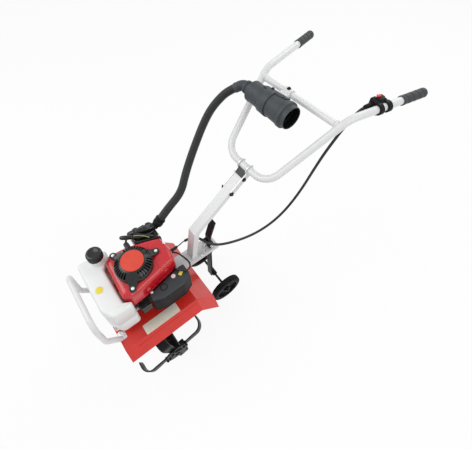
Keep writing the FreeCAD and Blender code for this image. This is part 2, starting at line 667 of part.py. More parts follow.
# ================================================================ tank and bumper
def fuel_tank():
    """Blow-moulded tank across the front; both its ends wrap round the shroud."""
    body = new_body("fuel_tank")
    plan = new_sketch(body, "tank_outline", "XY_Plane", "tank_bottom")
    add_outline(plan, [
        ("tank_right", "tank_front"), ("tank_left - 1.6 * tank_chamfer", "tank_front"),
        ("tank_left", "tank_front + tank_chamfer"), ("tank_left", "tank_left_rear"),
        ("tank_left - 16", "tank_left_rear"), ("tank_left - 30", "tank_rear"),
        ("-61", "tank_rear"), ("-94", "tank_right_rear"), ("tank_right", "tank_right_rear")])
    pad(body, "tank_body", plan, "tank_top - tank_bottom")
    fillet(body, "corners", "tank_round", outside_corner)
    fillet(body, "top_edge", "8", at_height(size("tank_top")))
    neck = new_sketch(body, "neck_outline", "XY_Plane", "tank_top - 4")
    add_circle(neck, "neck_x", "neck_y + 2", "neck_radius")
    pad(body, "neck", neck, "neck_height + 4")
    keep(body, "fuel_tank")
    cap = rod("cap", "cap_radius", "cap_height",
              ("neck_x", "neck_y + 2", "tank_top + neck_height"), "Z")
    keep(cap, "fuel_cap")
    shelf = block("tray_shelf", "-84", "84", "tank_front + 4", "tank_rear - 6",
                  "tank_bottom - tray_sheet", "tank_bottom")
    legs = block("tray_leg", "-40", "40", "tank_rear - 10", "tank_rear - 6",
                 "plate_top - plate_sheet - plate_lip", "tank_bottom - tray_sheet")
    foot = block("tray_foot", "-40", "40", "tank_rear - 10", "pad_front",
                 "plate_top - plate_sheet - plate_lip", "plate_top - plate_sheet")
    keep(fuse("tray", shelf, legs, foot), "tank_tray")


def bumper():
    """Upright hoop in front of the tank, its two feet on the fender."""
    half, front = size("bumper_half_width"), size("bumper_front")
    top, low = size("bumper_top"), size("bumper_low")
    foot = size("plate_top - plate_sheet - plate_lip")
    back = size("bumper_foot_back")
    bend = size("bumper_bend")
    points = [Vector(-half, back, foot), Vector(-half, front, low), Vector(-half, front, top),
              Vector(half, front, top), Vector(half, front, low), Vector(half, back, foot)]
    hoop = tube_along(route(points, [bend * 0.8, bend, bend, bend * 0.8]),
                      size("bumper_radius"))
    below = Part.makeBox(400, 200, 40, Vector(-200, back - 100, foot - 40))
    keep_shape("front_bumper", hoop.cut(below))


# ================================================================ post and handlebar
def handle_post():
    """U-channel, bent at the knee, with its web in front and its flanges behind."""
    body = new_body("handle_post")
    foot = Vector(0, size("post_foot_back"), size("plate_top"))
    knee = Vector(0, size("post_knee_back"), size("post_knee_height"))
    end = Vector(0, size("post_end_back"), size("post_end_height"))

    def strip(near, far):
        """Side outline between two depths behind the web's front face."""
        def shifted(depth):
            lower = (knee - foot).normalize()
            upper = (end - knee).normalize()
            low_n = Vector(0, lower.z, -lower.y)
            up_n = Vector(0, upper.z, -upper.y)
            mid_n = (low_n + up_n) * (1.0 / (1.0 + low_n.dot(up_n)))
            slide = lower * (-depth * low_n.z / lower.z)
            return [foot + low_n * depth + slide, knee + mid_n * depth, end + up_n * depth]
        outline = shifted(near) + shifted(far)[::-1]
        return [("%.4f" % p.y, "%.4f" % p.z) for p in outline]

    side = new_sketch(body, "side_outline", "YZ_Plane", "-post_width / 2")
    add_outline(side, strip(0.0, size("post_depth")))
    pad(body, "channel", side, "post_width")
    inner = new_sketch(body, "inner_outline", "YZ_Plane", "post_width / 2 - post_sheet")
    add_outline(inner, strip(size("post_sheet"), size("post_depth") + 8.0))
    pocket(body, "hollow", inner, "post_width - 2 * post_sheet")
    keep(body, "handle_post")


def frame_at_clamp():
    """The clamp's own axes: up the post, out of the post, and the bar's centre."""
    along = Vector(0, size("post_end_back - post_knee_back"),
                   size("post_end_height - post_knee_height")).normalize()
    out = Vector(0, -along.z, along.y)
    centre = Vector(0, size("corner_back"), size("corner_height"))
    return centre, along, out


def slab(low_x, high_x, low_a, high_a, low_n, high_n):
    """A box in the clamp's own axes."""
    centre, along, out = frame_at_clamp()
    corners = [centre + along * a + out * n + Vector(low_x, 0, 0)
               for a, n in ((low_a, low_n), (high_a, low_n), (high_a, high_n), (low_a, high_n))]
    face = Part.Face(Part.makePolygon(corners + corners[:1]))
    return face.extrude(Vector(high_x - low_x, 0, 0))


def bar_clamp():
    """Cheek plates bolted to the post, each hooked over the bar, and a block between."""
    centre, along, out = frame_at_clamp()
    bar = size("bar_radius")
    half = size("post_width / 2")
    post_end = Vector(0, size("post_end_back"), size("post_end_height"))
    web = (post_end - centre).dot(out)
    end = (post_end - centre).dot(along)
    depth = size("post_depth")
    hole = Part.makeCylinder(bar + size("fit_gap"), 200, centre - Vector(100, 0, 0),
                             Vector(1, 0, 0))
    for side, low, high in (("left", half, half + 4), ("right", -half - 4, -half)):
        cheek = slab(low, high, end - 62, -6, web - depth, web + 2)
        hook = Part.makeCylinder(bar + 6, 4, centre + Vector(low, 0, 0), Vector(1, 0, 0))
        neck = slab(low, high, -bar - 6, 0, web - 4, 0)
        mouth = slab(low, high, -4, bar + 8, -bar - 30, -4)
        plate = cheek.fuse([hook, neck]).cut(mouth).cut(hole)
        keep_shape(side + "_cheek_plate", plate.removeSplitter())
    seat = slab(-half, half, end, -bar - 2, web - depth, web + 4)
    keep_shape("clamp_block", seat)


def bar_points(inset_length=0.0):
    """Corners of the handlebar from the right tip to the left one."""
    tip = Vector(size("tip_half_width"), size("tip_back"), size("tip_height"))
    bend = Vector(size("bend_half_width"), size("bend_back"), size("bend_height"))
    corner = Vector(size("corner_half_width"), size("corner_back"), size("corner_height"))
    tip = tip - (tip - bend).normalize() * inset_length
    left = [corner, bend, tip]
    right = [Vector(-p.x, p.y, p.z) for p in left]
    return right[::-1] + left


def crossbar_end():
    """Where the crossbar's axis meets the left leg's."""
    leg, knee = bar_points()[3:5]
    share = size("(crossbar_back - corner_back) / (bend_back - corner_back)")
    return leg + (knee - leg) * share


def handlebar():
    """U-shaped bar with two raised arms, and a crossbar coped onto both legs."""
    bend = size("bar_bend_radius")
    points = bar_points(size("grip_end_wall"))
    path = route(points, [bend, bend, bend, bend])
    outer = tube_along(path, size("bar_radius"))
    inner = tube_along(path, size("bar_radius - bar_wall"))
    keep_shape("handlebar_tube", outer.cut(inner))
    joint = crossbar_end()
    span = Part.makeCylinder(size("crossbar_radius"), 2 * joint.x,
                             Vector(-joint.x, joint.y, joint.z), Vector(1, 0, 0))
    for corner, knee, tip in (points[3:6], points[2::-1]):
        beside = route([(corner + knee) / 2, knee, (knee + tip) / 2], [bend])
        span = span.cut(tube_along(beside, size("bar_radius")))
    keep_shape("handlebar_crossbar", span.removeSplitter())
    for side, tip, root in (("left", points[5], points[4]), ("right", points[0], points[1])):
        along = (tip - root).normalize()
        end = tip + along * size("grip_end_wall")
        length = size("grip_length")
        sleeve = Part.makeCylinder(size("grip_radius"), length, end - along * length, along)
        core = Part.makeCylinder(size("bar_radius + fit_gap"), length,
                                 tip - along * length, along)
        keep_shape(side + "_grip", sleeve.cut(core))


def throttle():
    """Split housing on the left arm, with the red stop switch on its inner side."""
    points = bar_points()
    bend, tip = points[4], points[5]
    along = (tip - bend).normalize()
    side = along.cross(Vector(0, 0, 1)).normalize()
    up = side.cross(along)
    run = (tip - bend).Length
    middle = bend + along * (run - size("housing_from_tip"))
    length, width, height = (size("housing_" + word) for word in ("length", "width", "height"))

    def local(low, high):
        """A box from its low to its high corner, along, beside and above the bar."""
        corners = [middle + along * a + side * b + up * low[2]
                   for a, b in ((low[0], low[1]), (high[0], low[1]), (high[0], high[1]),
                                (low[0], high[1]))]
        face = Part.Face(Part.makePolygon(corners + corners[:1]))
        return face.extrude(up * (high[2] - low[2]))

    shell = local((-length / 2, -width - 10, 4 - height / 2), (length / 2, -4, 4 + height / 2))
    hole = Part.makeCylinder(size("bar_radius + fit_gap"), 2 * run,
                             bend - along * run / 2, along)
    keep_shape("throttle_housing", shell.cut(hole))
    knob = middle - side * (width - 4) + up * (4 + height / 2)
    keep_shape("stop_switch", Part.makeCylinder(6, 6, knob, up))
    outlet = middle - along * (length / 2) - side * (width - 8) + up * 2
    return outlet, along


# ================================================================ pre-cleaner and hose
def precleaner():
    """Can that lies beside the crossbar, open at its left end, and its band."""
    body = new_body("precleaner_can")
    section = new_sketch(body, "can_section", "XY_Plane", "can_height")
    floor = "(can_mouth - can_depth)"
    add_outline(section, [(x, "can_back + " + y) for x, y in (
        ("can_end - can_neck_length", "0"), (floor, "0"),
        (floor, "can_small_radius - can_wall"), ("can_ring_at", "can_small_radius - can_wall"),
        ("can_ring_at", "spout_radius - can_wall"), ("can_mouth", "spout_radius - can_wall"),
        ("can_mouth", "spout_radius"), ("can_ring_at + can_ring_width", "spout_radius"),
        ("can_ring_at + can_ring_width", "can_ring_radius"),
        ("can_ring_at", "can_ring_radius"), ("can_ring_at", "can_radius"),
        ("can_end + 8", "can_small_radius"), ("can_end", "can_small_radius - 5"),
        ("can_end", "can_neck_radius"), ("can_end - can_neck_length", "can_neck_radius"))])
    turned_about_line(body, "can_shell", section, "can_back")
    keep(body, "precleaner_can")

    can = Vector(0, size("can_back"), size("can_height"))
    bar = crossbar_end()
    bar.x = 0
    start, width = size("band_at"), size("band_width")
    sheet = size("band_sheet")
    x_axis = Vector(1, 0, 0)

    def disc(centre, radius, low, length):
        return Part.makeCylinder(radius, length, centre + Vector(low, 0, 0), x_axis)

    gap = size("fit_gap")
    slope = size("(can_radius - can_small_radius) / (can_ring_at - can_end - 8)")
    radius = size("can_small_radius") + slope * (start + width / 2 - size("can_end + 8"))
    ring = disc(can, radius + sheet + slope * width, start, width)
    saddle = disc(bar, size("crossbar_radius") + 5, start, width)
    link = (bar - can).normalize()
    across = x_axis.cross(link)
    reach = (bar - can).Length
    base = can + link * radius + Vector(start, 0, 0)
    corners = [base - across * 9, base + across * 9]
    corners = corners + [corner + link * (reach - radius) for corner in corners[::-1]]
    web = Part.Face(Part.makePolygon(corners + corners[:1])).extrude(x_axis * width)
    band = ring.fuse([saddle, web])
    taper = Part.makeCone(radius + gap - slope * width, radius + gap + slope * width,
                          2 * width, can + Vector(start - width / 2, 0, 0), x_axis)
    band = band.cut(taper)
    band = band.cut(disc(bar, size("crossbar_radius") + gap, start - 5, width + 10))
    band = band.removeSplitter()
    keep_shape("can_bracket", band)


def hose_fittings():
    """Elbow at the can, collar at the air box, and the hose between them."""
    can = Vector(size("can_end - can_neck_length"), size("can_back"), size("can_height"))
    radius = size("hose_radius")
    turn = can + Vector(-26, 0, 0)
    end = turn + Vector(-20, -20, -17)
    elbow = tube_along(route([can, turn, end], [34.0]), radius + 1.5)
    keep_shape("can_elbow", elbow)
    start = Vector(-100, 160, 515)
    heading = Vector(-3, 40, 32).normalize()
    collar = Part.makeCylinder(radius + 4, 26, start - heading * 26, heading)
    root = Vector(-102, size("airbox_rear"), 488)
    duct = Part.makeCylinder(radius, (start - root).Length + 12, root, start - root)
    duct = duct.cut(Part.makeBox(80, 100, 100, Vector(-146, size("airbox_rear") - 100, 440)))
    collar = collar.fuse(duct)
    beyond = Part.makeBox(160, 160, 160, Vector(-80, -80, 0))
    beyond.Placement = FreeCAD.Placement(start, FreeCAD.Rotation(Vector(0, 0, 1), heading))
    keep_shape("hose_collar", collar.cut(beyond).removeSplitter())
    leave = (end - turn).normalize()
    points = [start, start + heading * 44, Vector(-117, 261, 565), Vector(-152, 306, 602),
              Vector(-180, 352, 640), Vector(-203, 398, 680), Vector(-217, 437, 722),
              Vector(-222, 472, 762), Vector(-217, 505, 795), end + leave * 28, end]
    cord("intake_hose", points, radius)


def throttle_cable(outlet, along):
    """Conduit from the throttle, round behind the post, then the bare wire to the boot."""
    points = [outlet, outlet - along * 28, Vector(160, 738, 856), Vector(153, 719, 820),
              Vector(147, 703, 780), Vector(134, 684, 703), Vector(122, 672, 619),
              Vector(111, 657, 527), Vector(101, 632, 447), Vector(91, 598, 381),
              Vector(79, 549, 330), Vector(68, 482, 310), Vector(57, 410, 318),
              Vector(48, 332, 352), Vector(38, 290, 378), Vector(20, 267, 395),
              Vector(0, 257, 402), Vector(-18, 244, 405), Vector(-29, 224, 405),
              Vector(-31, 202, 405)]
    cord("throttle_cable", points, size("cable_radius"))
    start = points[-1]
    ahead = (start - points[-2]).normalize()
    root, reach = boot_line()
    tip = root + reach
    wire = [start, start + ahead * 10, tip + reach * 0.25, tip]
    cord("throttle_wire", wire, size("wire_radius"))


def boot_line():
    """Root of the cable boot at the back of the barrel, and its length as a vector."""
    root = Vector(-22, size("barrel_rear"), 410)
    return root, Vector(-2, 54, 2)


def small_fittings():
    """Boot at the back of the engine, where the throttle cable ends."""
    root, reach = boot_line()
    back = reach * 0.2
    boot = Part.makeCone(10, 5, (reach + back).Length, root - back, reach)
    wall = Part.makeBox(100, 20, 60, Vector(-70, size("barrel_rear") - 20, 396))
    keep_shape("cable_boot", boot.cut(wall))


# ================================================================ stake, axle, wheels
def stake():
    """Flat drag bar through a guide on the base plate; the axle tube is at its foot."""
    body = new_body("drag_stake")
    low, high = "stake_back - stake_sheet / 2", "stake_back + stake_sheet / 2"
    lean = "(stake_top_back - stake_back)"
    side = new_sketch(body, "side_outline", "YZ_Plane", "-stake_width / 2")
    add_outline(side, [
        (low, "wheel_radius - 8"), (high, "wheel_radius - 8"), (high, "stake_bend_height"),
        (high + " + " + lean, "stake_top"), (low + " + " + lean, "stake_top"),
        (low, "stake_bend_height")])
    pad(body, "bar", side, "stake_width")
    boss = new_sketch(body, "boss_outline", "YZ_Plane", "-stake_width / 2 - 6")
    add_circle(boss, "axle_back", "wheel_radius", "axle_boss_radius")
    pad(body, "axle_tube", boss, "stake_width + 12")
    bore = new_sketch(body, "bore_outline", "YZ_Plane", "stake_width / 2 + 6")
    add_circle(bore, "axle_back", "wheel_radius", "axle_radius + running_gap")
    pocket(body, "axle_bore", bore, "stake_width + 12")
    keep(body, "drag_stake")
    axle = rod("axle", "axle_radius", "2 * axle_half",
               ("-axle_half", "axle_back", "wheel_radius"), "X")
    keep(axle, "wheel_axle")

    shell = new_body("stake_guide")
    ring = new_sketch(shell, "guide_outline", "XY_Plane", "plate_top")
    add_box(ring, "-stake_width / 2 - stake_gap - guide_wall",
            "stake_width / 2 + stake_gap + guide_wall",
            "stake_back - stake_sheet / 2 - stake_gap - guide_wall",
            "stake_back + stake_sheet / 2 + stake_gap + guide_wall")
    pad(shell, "guide", ring, "guide_height")
    hole = new_sketch(shell, "passage_outline", "XY_Plane", "plate_top + guide_height")
    add_box(hole, "-stake_width / 2 - stake_gap", "stake_width / 2 + stake_gap",
            "stake_back - stake_sheet / 2 - stake_gap",
            "stake_back + stake_sheet / 2 + stake_gap")
    pocket(shell, "passage", hole, "guide_height")
    pin_hole = new_sketch(shell, "pin_hole_outline", "XZ_Plane",
                          "-(stake_back - stake_sheet / 2)")
    add_circle(pin_hole, "0", "plate_top + guide_height / 2", "pin_radius")
    pocket(shell, "pin_hole", pin_hole, "guide_wall + stake_gap + 1", True)
    keep(shell, "stake_guide")
    pin = rod("pin", "pin_radius", "guide_wall + 14",
              ("0", "stake_back - stake_sheet / 2 - stake_gap - guide_wall - 14",
               "plate_top + guide_height / 2"), "Y")
    keep(pin, "stake_lock_pin")


def wheel(side, sign):
    """Moulded wheel with round windows, and a solid tyre round it."""
    middle = "(%swheel_centre)" % sign
    body = new_body(side + "_wheel_rim")
    section = new_sketch(body, "rim_outline", "XY_Plane", "wheel_radius")
    half = "wheel_width / 2"
    bore = "axle_radius + running_gap"
    out = "wheel_radius - tyre_depth"
    back = "axle_back + "
    add_outline(section, [
        (middle + " - " + half, back + bore), (middle + " + " + half, back + bore),
        (middle + " + " + half, back + "wheel_hub_radius"),
        (middle + " + wheel_web / 2", back + "wheel_hub_radius"),
        (middle + " + wheel_web / 2", back + out + " - rim_wall"),
        (middle + " + " + half, back + out + " - rim_wall"),
        (middle + " + " + half, back + out), (middle + " - " + half, back + out),
        (middle + " - " + half, back + out + " - rim_wall"),
        (middle + " - wheel_web / 2", back + out + " - rim_wall"),
        (middle + " - wheel_web / 2", back + "wheel_hub_radius"),
        (middle + " - " + half, back + "wheel_hub_radius")])
    turned_about_line(body, "rim", section, "axle_back")
    window = new_sketch(body, "window_outline", "YZ_Plane",
                        middle + " + wheel_web / 2")
    count = int(size("wheel_windows"))
    for index in range(count):
        angle = 2 * math.pi * index / count
        add_circle(window, "axle_back + %.4f * wheel_window_circle" % math.cos(angle),
                   "wheel_radius + %.4f * wheel_window_circle" % math.sin(angle),
                   "wheel_window_radius")
    pocket(body, "windows", window, "wheel_web")
    keep(body, side + "_wheel_rim")
    outer = rod("tyre_outer", "wheel_radius", "wheel_width",
                (middle + " - " + half, "axle_back", "wheel_radius"), "X")
    inner = rod("tyre_inner", out + " + fit_gap", "wheel_width",
                (middle + " - " + half, "axle_back", "wheel_radius"), "X")
    keep(cut("tyre", outer, inner), side + "_tyre")


# ================================================================ build and write
base_plate()
gearbox()
fender()
tine_rotor()
engine()
engine_shroud()
recoil_starter()
starter_handle()
muffler()
air_intake()
fuel_tank()
bumper()
handle_post()
bar_clamp()
handlebar()
throttle_outlet, throttle_along = throttle()
precleaner()
hose_fittings()
throttle_cable(throttle_outlet, throttle_along)
small_fittings()
stake()
wheel("left", "")
wheel("right", "-")
doc.recompute()

for item in doc.Objects:
    if "Invalid" in item.State or "Error" in item.State:
        raise RuntimeError(item.Name + " failed: " + str(item.State))

os.makedirs("parts", exist_ok=True)
for piece in SUBPARTS:
    shape = piece.Shape
    if shape.isNull() or not shape.isValid() or len(shape.Solids) != 1:
        raise RuntimeError("%s is not one valid solid (%d)" % (piece.Label, len(shape.Solids)))
    shape.exportStep("parts/%s.step" % piece.Label)

whole = FreeCAD.BoundBox()
for piece in SUBPARTS:
    whole.add(piece.Shape.BoundBox)
print("%d sub-parts, X %.1f..%.1f, Y %.1f..%.1f, Z %.1f..%.1f" % (
    len(SUBPARTS), whole.XMin, whole.XMax, whole.YMin, whole.YMax, whole.ZMin, whole.ZMax))
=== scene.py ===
"""Looks of a walk-behind power weeder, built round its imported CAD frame.

Lengths in the code are millimetres in the machine's own axes: Y = 0 under the crankshaft,
Z = 0 on the ground, +X to the operator's left, the operator at +Y.  place() turns them
into the frame's metres.
"""
import math

import bpy
import numpy as np
from bpy.props import FloatProperty, FloatVectorProperty, IntProperty, PointerProperty
from mathutils import Matrix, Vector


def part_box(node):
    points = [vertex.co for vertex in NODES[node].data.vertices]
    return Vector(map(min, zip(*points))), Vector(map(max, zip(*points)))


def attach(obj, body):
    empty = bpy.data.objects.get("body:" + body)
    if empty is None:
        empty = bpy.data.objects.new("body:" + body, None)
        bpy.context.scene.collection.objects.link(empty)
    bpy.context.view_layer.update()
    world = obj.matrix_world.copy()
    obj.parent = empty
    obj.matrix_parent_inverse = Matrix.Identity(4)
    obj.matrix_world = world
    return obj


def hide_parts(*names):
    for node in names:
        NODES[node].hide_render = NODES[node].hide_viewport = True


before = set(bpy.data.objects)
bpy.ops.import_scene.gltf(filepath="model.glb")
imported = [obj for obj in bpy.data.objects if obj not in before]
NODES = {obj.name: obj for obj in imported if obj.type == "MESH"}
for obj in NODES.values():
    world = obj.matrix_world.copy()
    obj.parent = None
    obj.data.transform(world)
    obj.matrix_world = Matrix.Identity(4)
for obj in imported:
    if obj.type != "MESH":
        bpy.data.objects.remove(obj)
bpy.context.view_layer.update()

bl_info = {
    "name": "Power weeder",
    "version": (1, 0, 0),
    "blender": (4, 5, 0),
    "location": "View3D > Sidebar > Weeder",
    "description": "Detailed surfaces and finishes for the power weeder",
    "category": "Object",
}

CRANK = sum(corner[1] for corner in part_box("starter_badge")) / 2
UP = np.array([0.0, 0.0, 1.0])
X_AXIS = np.array([1.0, 0.0, 0.0])
Y_AXIS = np.array([0.0, 1.0, 0.0])
SIDES = (("left", 1), ("right", -1))


# ------------------------------------------------------------------ user sizes and colours
def millimetres(label, text, value):
    return FloatProperty(name=label, description=text, default=value / 1000, unit="LENGTH")


def colour(label, text, value):
    return FloatVectorProperty(name=label, description=text, default=value,
                               subtype="COLOR", size=3, min=0.0, max=1.0)


class WeederSizes(bpy.types.PropertyGroup):
    """Sizes of the surface detail."""
    grip_pitch: millimetres("Grip pitch", "Lead of the spiral on the hand grips", 21.0)
    grip_groove: millimetres("Grip groove", "Depth of the spiral's groove", 1.4)
    hose_pitch: millimetres("Hose pitch", "Distance between two rings of the hose", 4.2)
    hose_ring: millimetres("Hose ring", "Height of the rings of the hose", 0.9)
    starter_ribs: IntProperty(name="Starter ribs", description="Cooling ribs all round",
                              default=36, min=12, max=120)
    tread_blocks: IntProperty(name="Tread blocks", description="Grooves across a tyre",
                              default=48, min=12, max=90)
    cap_knurls: IntProperty(name="Cap knurls", description="Flutes round the fuel cap",
                            default=30, min=8, max=60)


class WeederColours(bpy.types.PropertyGroup):
    """Colours of the finishes."""
    tube: colour("Tube", "Powder coat of the handlebar and post", (0.74, 0.745, 0.75))
    silver: colour("Silver", "Silver paint of the plates and bumper", (0.70, 0.69, 0.69))
    cover: colour("Cover", "Gloss red of the engine cover", (0.56, 0.006, 0.014))
    fender: colour("Fender", "Red paint of the fender", (0.66, 0.022, 0.014))
    badge: colour("Badge", "Orange red of the starter's badge", (0.68, 0.070, 0.042))
    black: colour("Black", "Black plastic and paint", (0.007, 0.0075, 0.0085))
    grey: colour("Grey", "Dark grey of the guard and the can", (0.052, 0.060, 0.066))
    tank: colour("Tank", "Milky plastic of the tank", (0.80, 0.815, 0.81))
    rubber: colour("Rubber", "Rubber of the grips and hose", (0.040, 0.043, 0.046))
    cream: colour("Cream", "Blank label plate", (0.80, 0.74, 0.62))
    yellow: colour("Yellow", "Blank round and square stickers", (0.80, 0.66, 0.05))


# ------------------------------------------------------------------ surfaces as whole arrays
def place(points):
    """Machine millimetres to the frame's metres, for any array whose last axis is X, Y, Z."""
    return np.asarray(points, float) / 1000.0 + np.array([0.0, CRANK, 0.0])


def unit(vector):
    """The vector, or each vector of an array, divided by its own length."""
    vector = np.asarray(vector, float)
    return vector / np.linalg.norm(vector, axis=-1, keepdims=True)


def spoke(angle):
    """Unit vector at an angle about X: cos * Y + sin * Z."""
    return np.array([0.0, math.cos(angle), math.sin(angle)])


def on_side(point, sign):
    """A point or direction of the left side, with X turned over where sign is -1."""
    return point * np.array([sign, 1, 1])


def frame_of(axis, hint=None):
    """Two unit vectors across an axis: the hint's part across it, and their product."""
    axis = unit(axis)
    if hint is None:
        hint = UP if abs(axis[2]) < 0.9 else X_AXIS
    side = unit(np.asarray(hint, float) - axis * np.dot(hint, axis))
    return side, np.cross(axis, side)


def rings(grid, loop=False, flat=False):
    """Closed rings joined in order.  Each end is closed by a fan, or by one flat face, or
    the last ring joins the first in a loop."""
    count, around = grid.shape[:2]
    if loop:
        index = np.arange(count * around).reshape(count, around)
        corners = [index, np.roll(index, -1, 1), np.roll(index, (-1, -1), (0, 1)),
                   np.roll(index, -1, 0)]
        return grid.reshape(-1, 3), np.stack(corners, -1).reshape(-1, 4).tolist()
    points = np.concatenate([grid.reshape(-1, 3), grid[0].mean(0)[None], grid[-1].mean(0)[None]])
    row = np.arange(count - 1)[:, None] * around
    here = np.arange(around)
    after = (here + 1) % around
    quads = np.stack([row + here, row + after, row + around + after, row + around + here],
                     -1).reshape(-1, 4)
    if flat:
        ends = [list(range(around))[::-1], list(range((count - 1) * around, count * around))]
        return points[:-2], quads.tolist() + ends
    first, last = count * around, count * around + 1
    top = (count - 1) * around
    start = np.stack([np.full(around, first), after, here], -1)
    end = np.stack([np.full(around, last), top + here, top + after], -1)
    return points, quads.tolist() + start.tolist() + end.tolist()


def revolve(profile, centre, axis, sides=48, hint=None, wave=None, loop=False):
    """A profile of (distance along the axis, radius) turned about the axis.

    Point (i, j) = centre + along_i * axis + radius_i * (cos t_j * side + sin t_j * cross);
    wave, if given, adds its value for (i, t) to the radius.
    """
    along, radius = np.array(profile, float).T
    turn = np.linspace(0, 2 * np.pi, sides, endpoint=False)
    side, cross = frame_of(axis, hint)
    reach = radius[:, None] + (0 if wave is None else wave(along[:, None], turn[None]))
    outward = np.cos(turn)[:, None] * side + np.sin(turn)[:, None] * cross
    grid = (np.asarray(centre, float) + along[:, None, None] * unit(axis)
            + reach[..., None] * outward[None])
    return rings(grid, loop)


def split(surface, sides, row):
    """A turned surface as two parts with the same points, before and after one ring."""
    points, faces = surface
    count = sides * (len(points) // sides - 1)
    half = (len(faces) - count) // 2
    return ((points, faces[:row * sides] + faces[count:count + half]),
            (points, faces[row * sides:count] + faces[count + half:]))


def tube(path, radius, sides=24, hint=UP, flat=None):
    """A closed tube along a dense path: each ring lies across the path's direction.

    flat = (half width along the hint, half thickness across) makes a rounded flat bar.
    """
    path = np.asarray(path, float)
    ahead = unit(np.gradient(path, axis=0))
    side = unit(hint - ahead * (ahead @ hint)[:, None])
    cross = np.cross(ahead, side)
    turn = np.linspace(0, 2 * np.pi, sides, endpoint=False)
    if flat is None:
        reach = np.broadcast_to(np.asarray(radius, float), (len(path),))
        a, b = reach[:, None] * np.cos(turn), reach[:, None] * np.sin(turn)
    else:
        power = 0.22
        a = np.asarray(flat[0])[..., None] * np.sign(np.cos(turn)) * np.abs(np.cos(turn)) ** power
        b = np.asarray(flat[1])[..., None] * np.sign(np.sin(turn)) * np.abs(np.sin(turn)) ** power
        a, b = np.broadcast_to(a, (len(path), sides)), np.broadcast_to(b, (len(path), sides))
    return rings(path[:, None] + a[..., None] * side[:, None] + b[..., None] * cross[:, None])


def bent(corners, radius, step=3.0):
    """A rigid tube's centreline: straight runs joined by arcs of one radius, as dense points."""
    corners = np.asarray(corners, float)
    pieces = [corners[:1]]
    for before, corner, after in zip(corners, corners[1:], corners[2:]):
        a, b = unit(before - corner), unit(after - corner)
        half = math.acos(np.clip(a @ b, -1, 1)) / 2
        back = radius / math.tan(half)
        middle = corner + unit(a + b) * radius / math.sin(half)
        start, end = corner + a * back - middle, corner + b * back - middle
        sweep = math.pi - 2 * half
        share = np.linspace(0, 1, max(6, int(radius * sweep / step)))[:, None]
        arc = (start * np.sin((1 - share) * sweep) + end * np.sin(share * sweep)) / math.sin(sweep)
        pieces.append(middle + arc)
    pieces.append(corners[-1:])
    path = np.concatenate(pieces)
    gaps = np.linalg.norm(np.diff(path, axis=0), axis=1)
    extra = [path[:1]]
    for here, there, gap in zip(path, path[1:], gaps):
        count = max(1, int(gap / (3 * step)))
        share = np.linspace(0, 1, count + 1)[1:, None]
        extra.append(here + (there - here) * share)
    return np.concatenate(extra)


def eased(corners):
    """A smooth line by corners: four times, every corner is cut at a quarter of its runs."""
    path = np.asarray(corners, float)
    for _ in range(4):
        near, far = path[:-1] * 0.75 + path[1:] * 0.25, path[:-1] * 0.25 + path[1:] * 0.75
        inner = np.stack([near, far], 1).reshape(-1, 3)
        path = np.concatenate([path[:1], inner, path[-1:]])
    return path


def outline(corners, radius=6.0, steps=6):
    """A flat closed outline with rounded corners, as a function of how far it is moved in.

    Each corner moves along the bisector by the inset; its radius shrinks by the inset where
    it points out and grows where it points in, so the rings of a soft edge never cross.
    """
    corners = np.asarray(corners, float)
    radii = np.broadcast_to(np.asarray(radius, float), (len(corners),))
    if np.sum(corners[:, 0] * np.roll(corners[:, 1], -1)
              - corners[:, 1] * np.roll(corners[:, 0], -1)) < 0:
        corners, radii = corners[::-1], radii[::-1]
    ahead = unit(np.roll(corners, -1, 0) - corners)
    behind = np.roll(ahead, 1, 0)
    left = np.stack([-ahead[:, 1], ahead[:, 0]], 1)
    bisector = (left + np.roll(left, 1, 0)) / (1 + (ahead * behind).sum(1))[:, None]
    convex = behind[:, 0] * ahead[:, 1] - behind[:, 1] * ahead[:, 0] > 0
    half = np.arccos(np.clip(-(ahead * behind).sum(1), -1, 1)) / 2
    share = np.linspace(0, 1, steps)[None, :, None]

    def at(inset):
        turned = np.maximum(np.where(convex, radii - inset, radii + inset), 0.6)
        place_of = corners + bisector * inset
        back = (turned / np.tan(half))[:, None]
        middle = place_of + unit(ahead - behind) * (turned / np.sin(half))[:, None]
        start, end = place_of - behind * back - middle, place_of + ahead * back - middle
        sweep = (np.pi - 2 * half)[:, None, None]
        arc = (start[:, None] * np.sin((1 - share) * sweep)
               + end[:, None] * np.sin(share * sweep)) / np.sin(sweep)
        return (middle[:, None] + arc).reshape(-1, 2)
    return at


def soft_levels(low, high, bottom=1.0, top=3.0, steps=4):
    """(height, inset) pairs of a wall whose lower and upper edges are quarter circles."""
    turn = np.linspace(0, np.pi / 2, steps + 1)
    lower = [(low + bottom * (1 - math.sin(t)), bottom * (1 - math.cos(t)))
             for t in turn[::-1]]
    upper = [(high - top * (1 - math.sin(t)), top * (1 - math.cos(t))) for t in turn]
    return lower + upper


def prism(plan, levels, origin=(0, 0, 0), axes=(X_AXIS, Y_AXIS, UP)):
    """An outline carried up through (height, inset) levels, each ring moved in by its inset."""
    flat = [plan(inset) for height, inset in levels]
    grid = np.stack([np.concatenate([ring, np.full((len(ring), 1), height)], 1)
                     for ring, (height, inset) in zip(flat, levels)])
    return rings(np.asarray(origin, float) + grid @ np.array(axes, float), flat=True)


def slab(low, high, corner=3.0, edge=1.0):
    """A box between two corners with rounded upright edges and softened level ones."""
    (x0, y0, z0), (x1, y1, z1) = low, high
    corner = min(corner, (x1 - x0) / 2.2, (y1 - y0) / 2.2)
    edge = min(edge, (z1 - z0) / 2.2)
    return prism(outline([(x0, y0), (x1, y0), (x1, y1), (x0, y1)], corner),
                 soft_levels(z0, z1, edge, edge, 3))


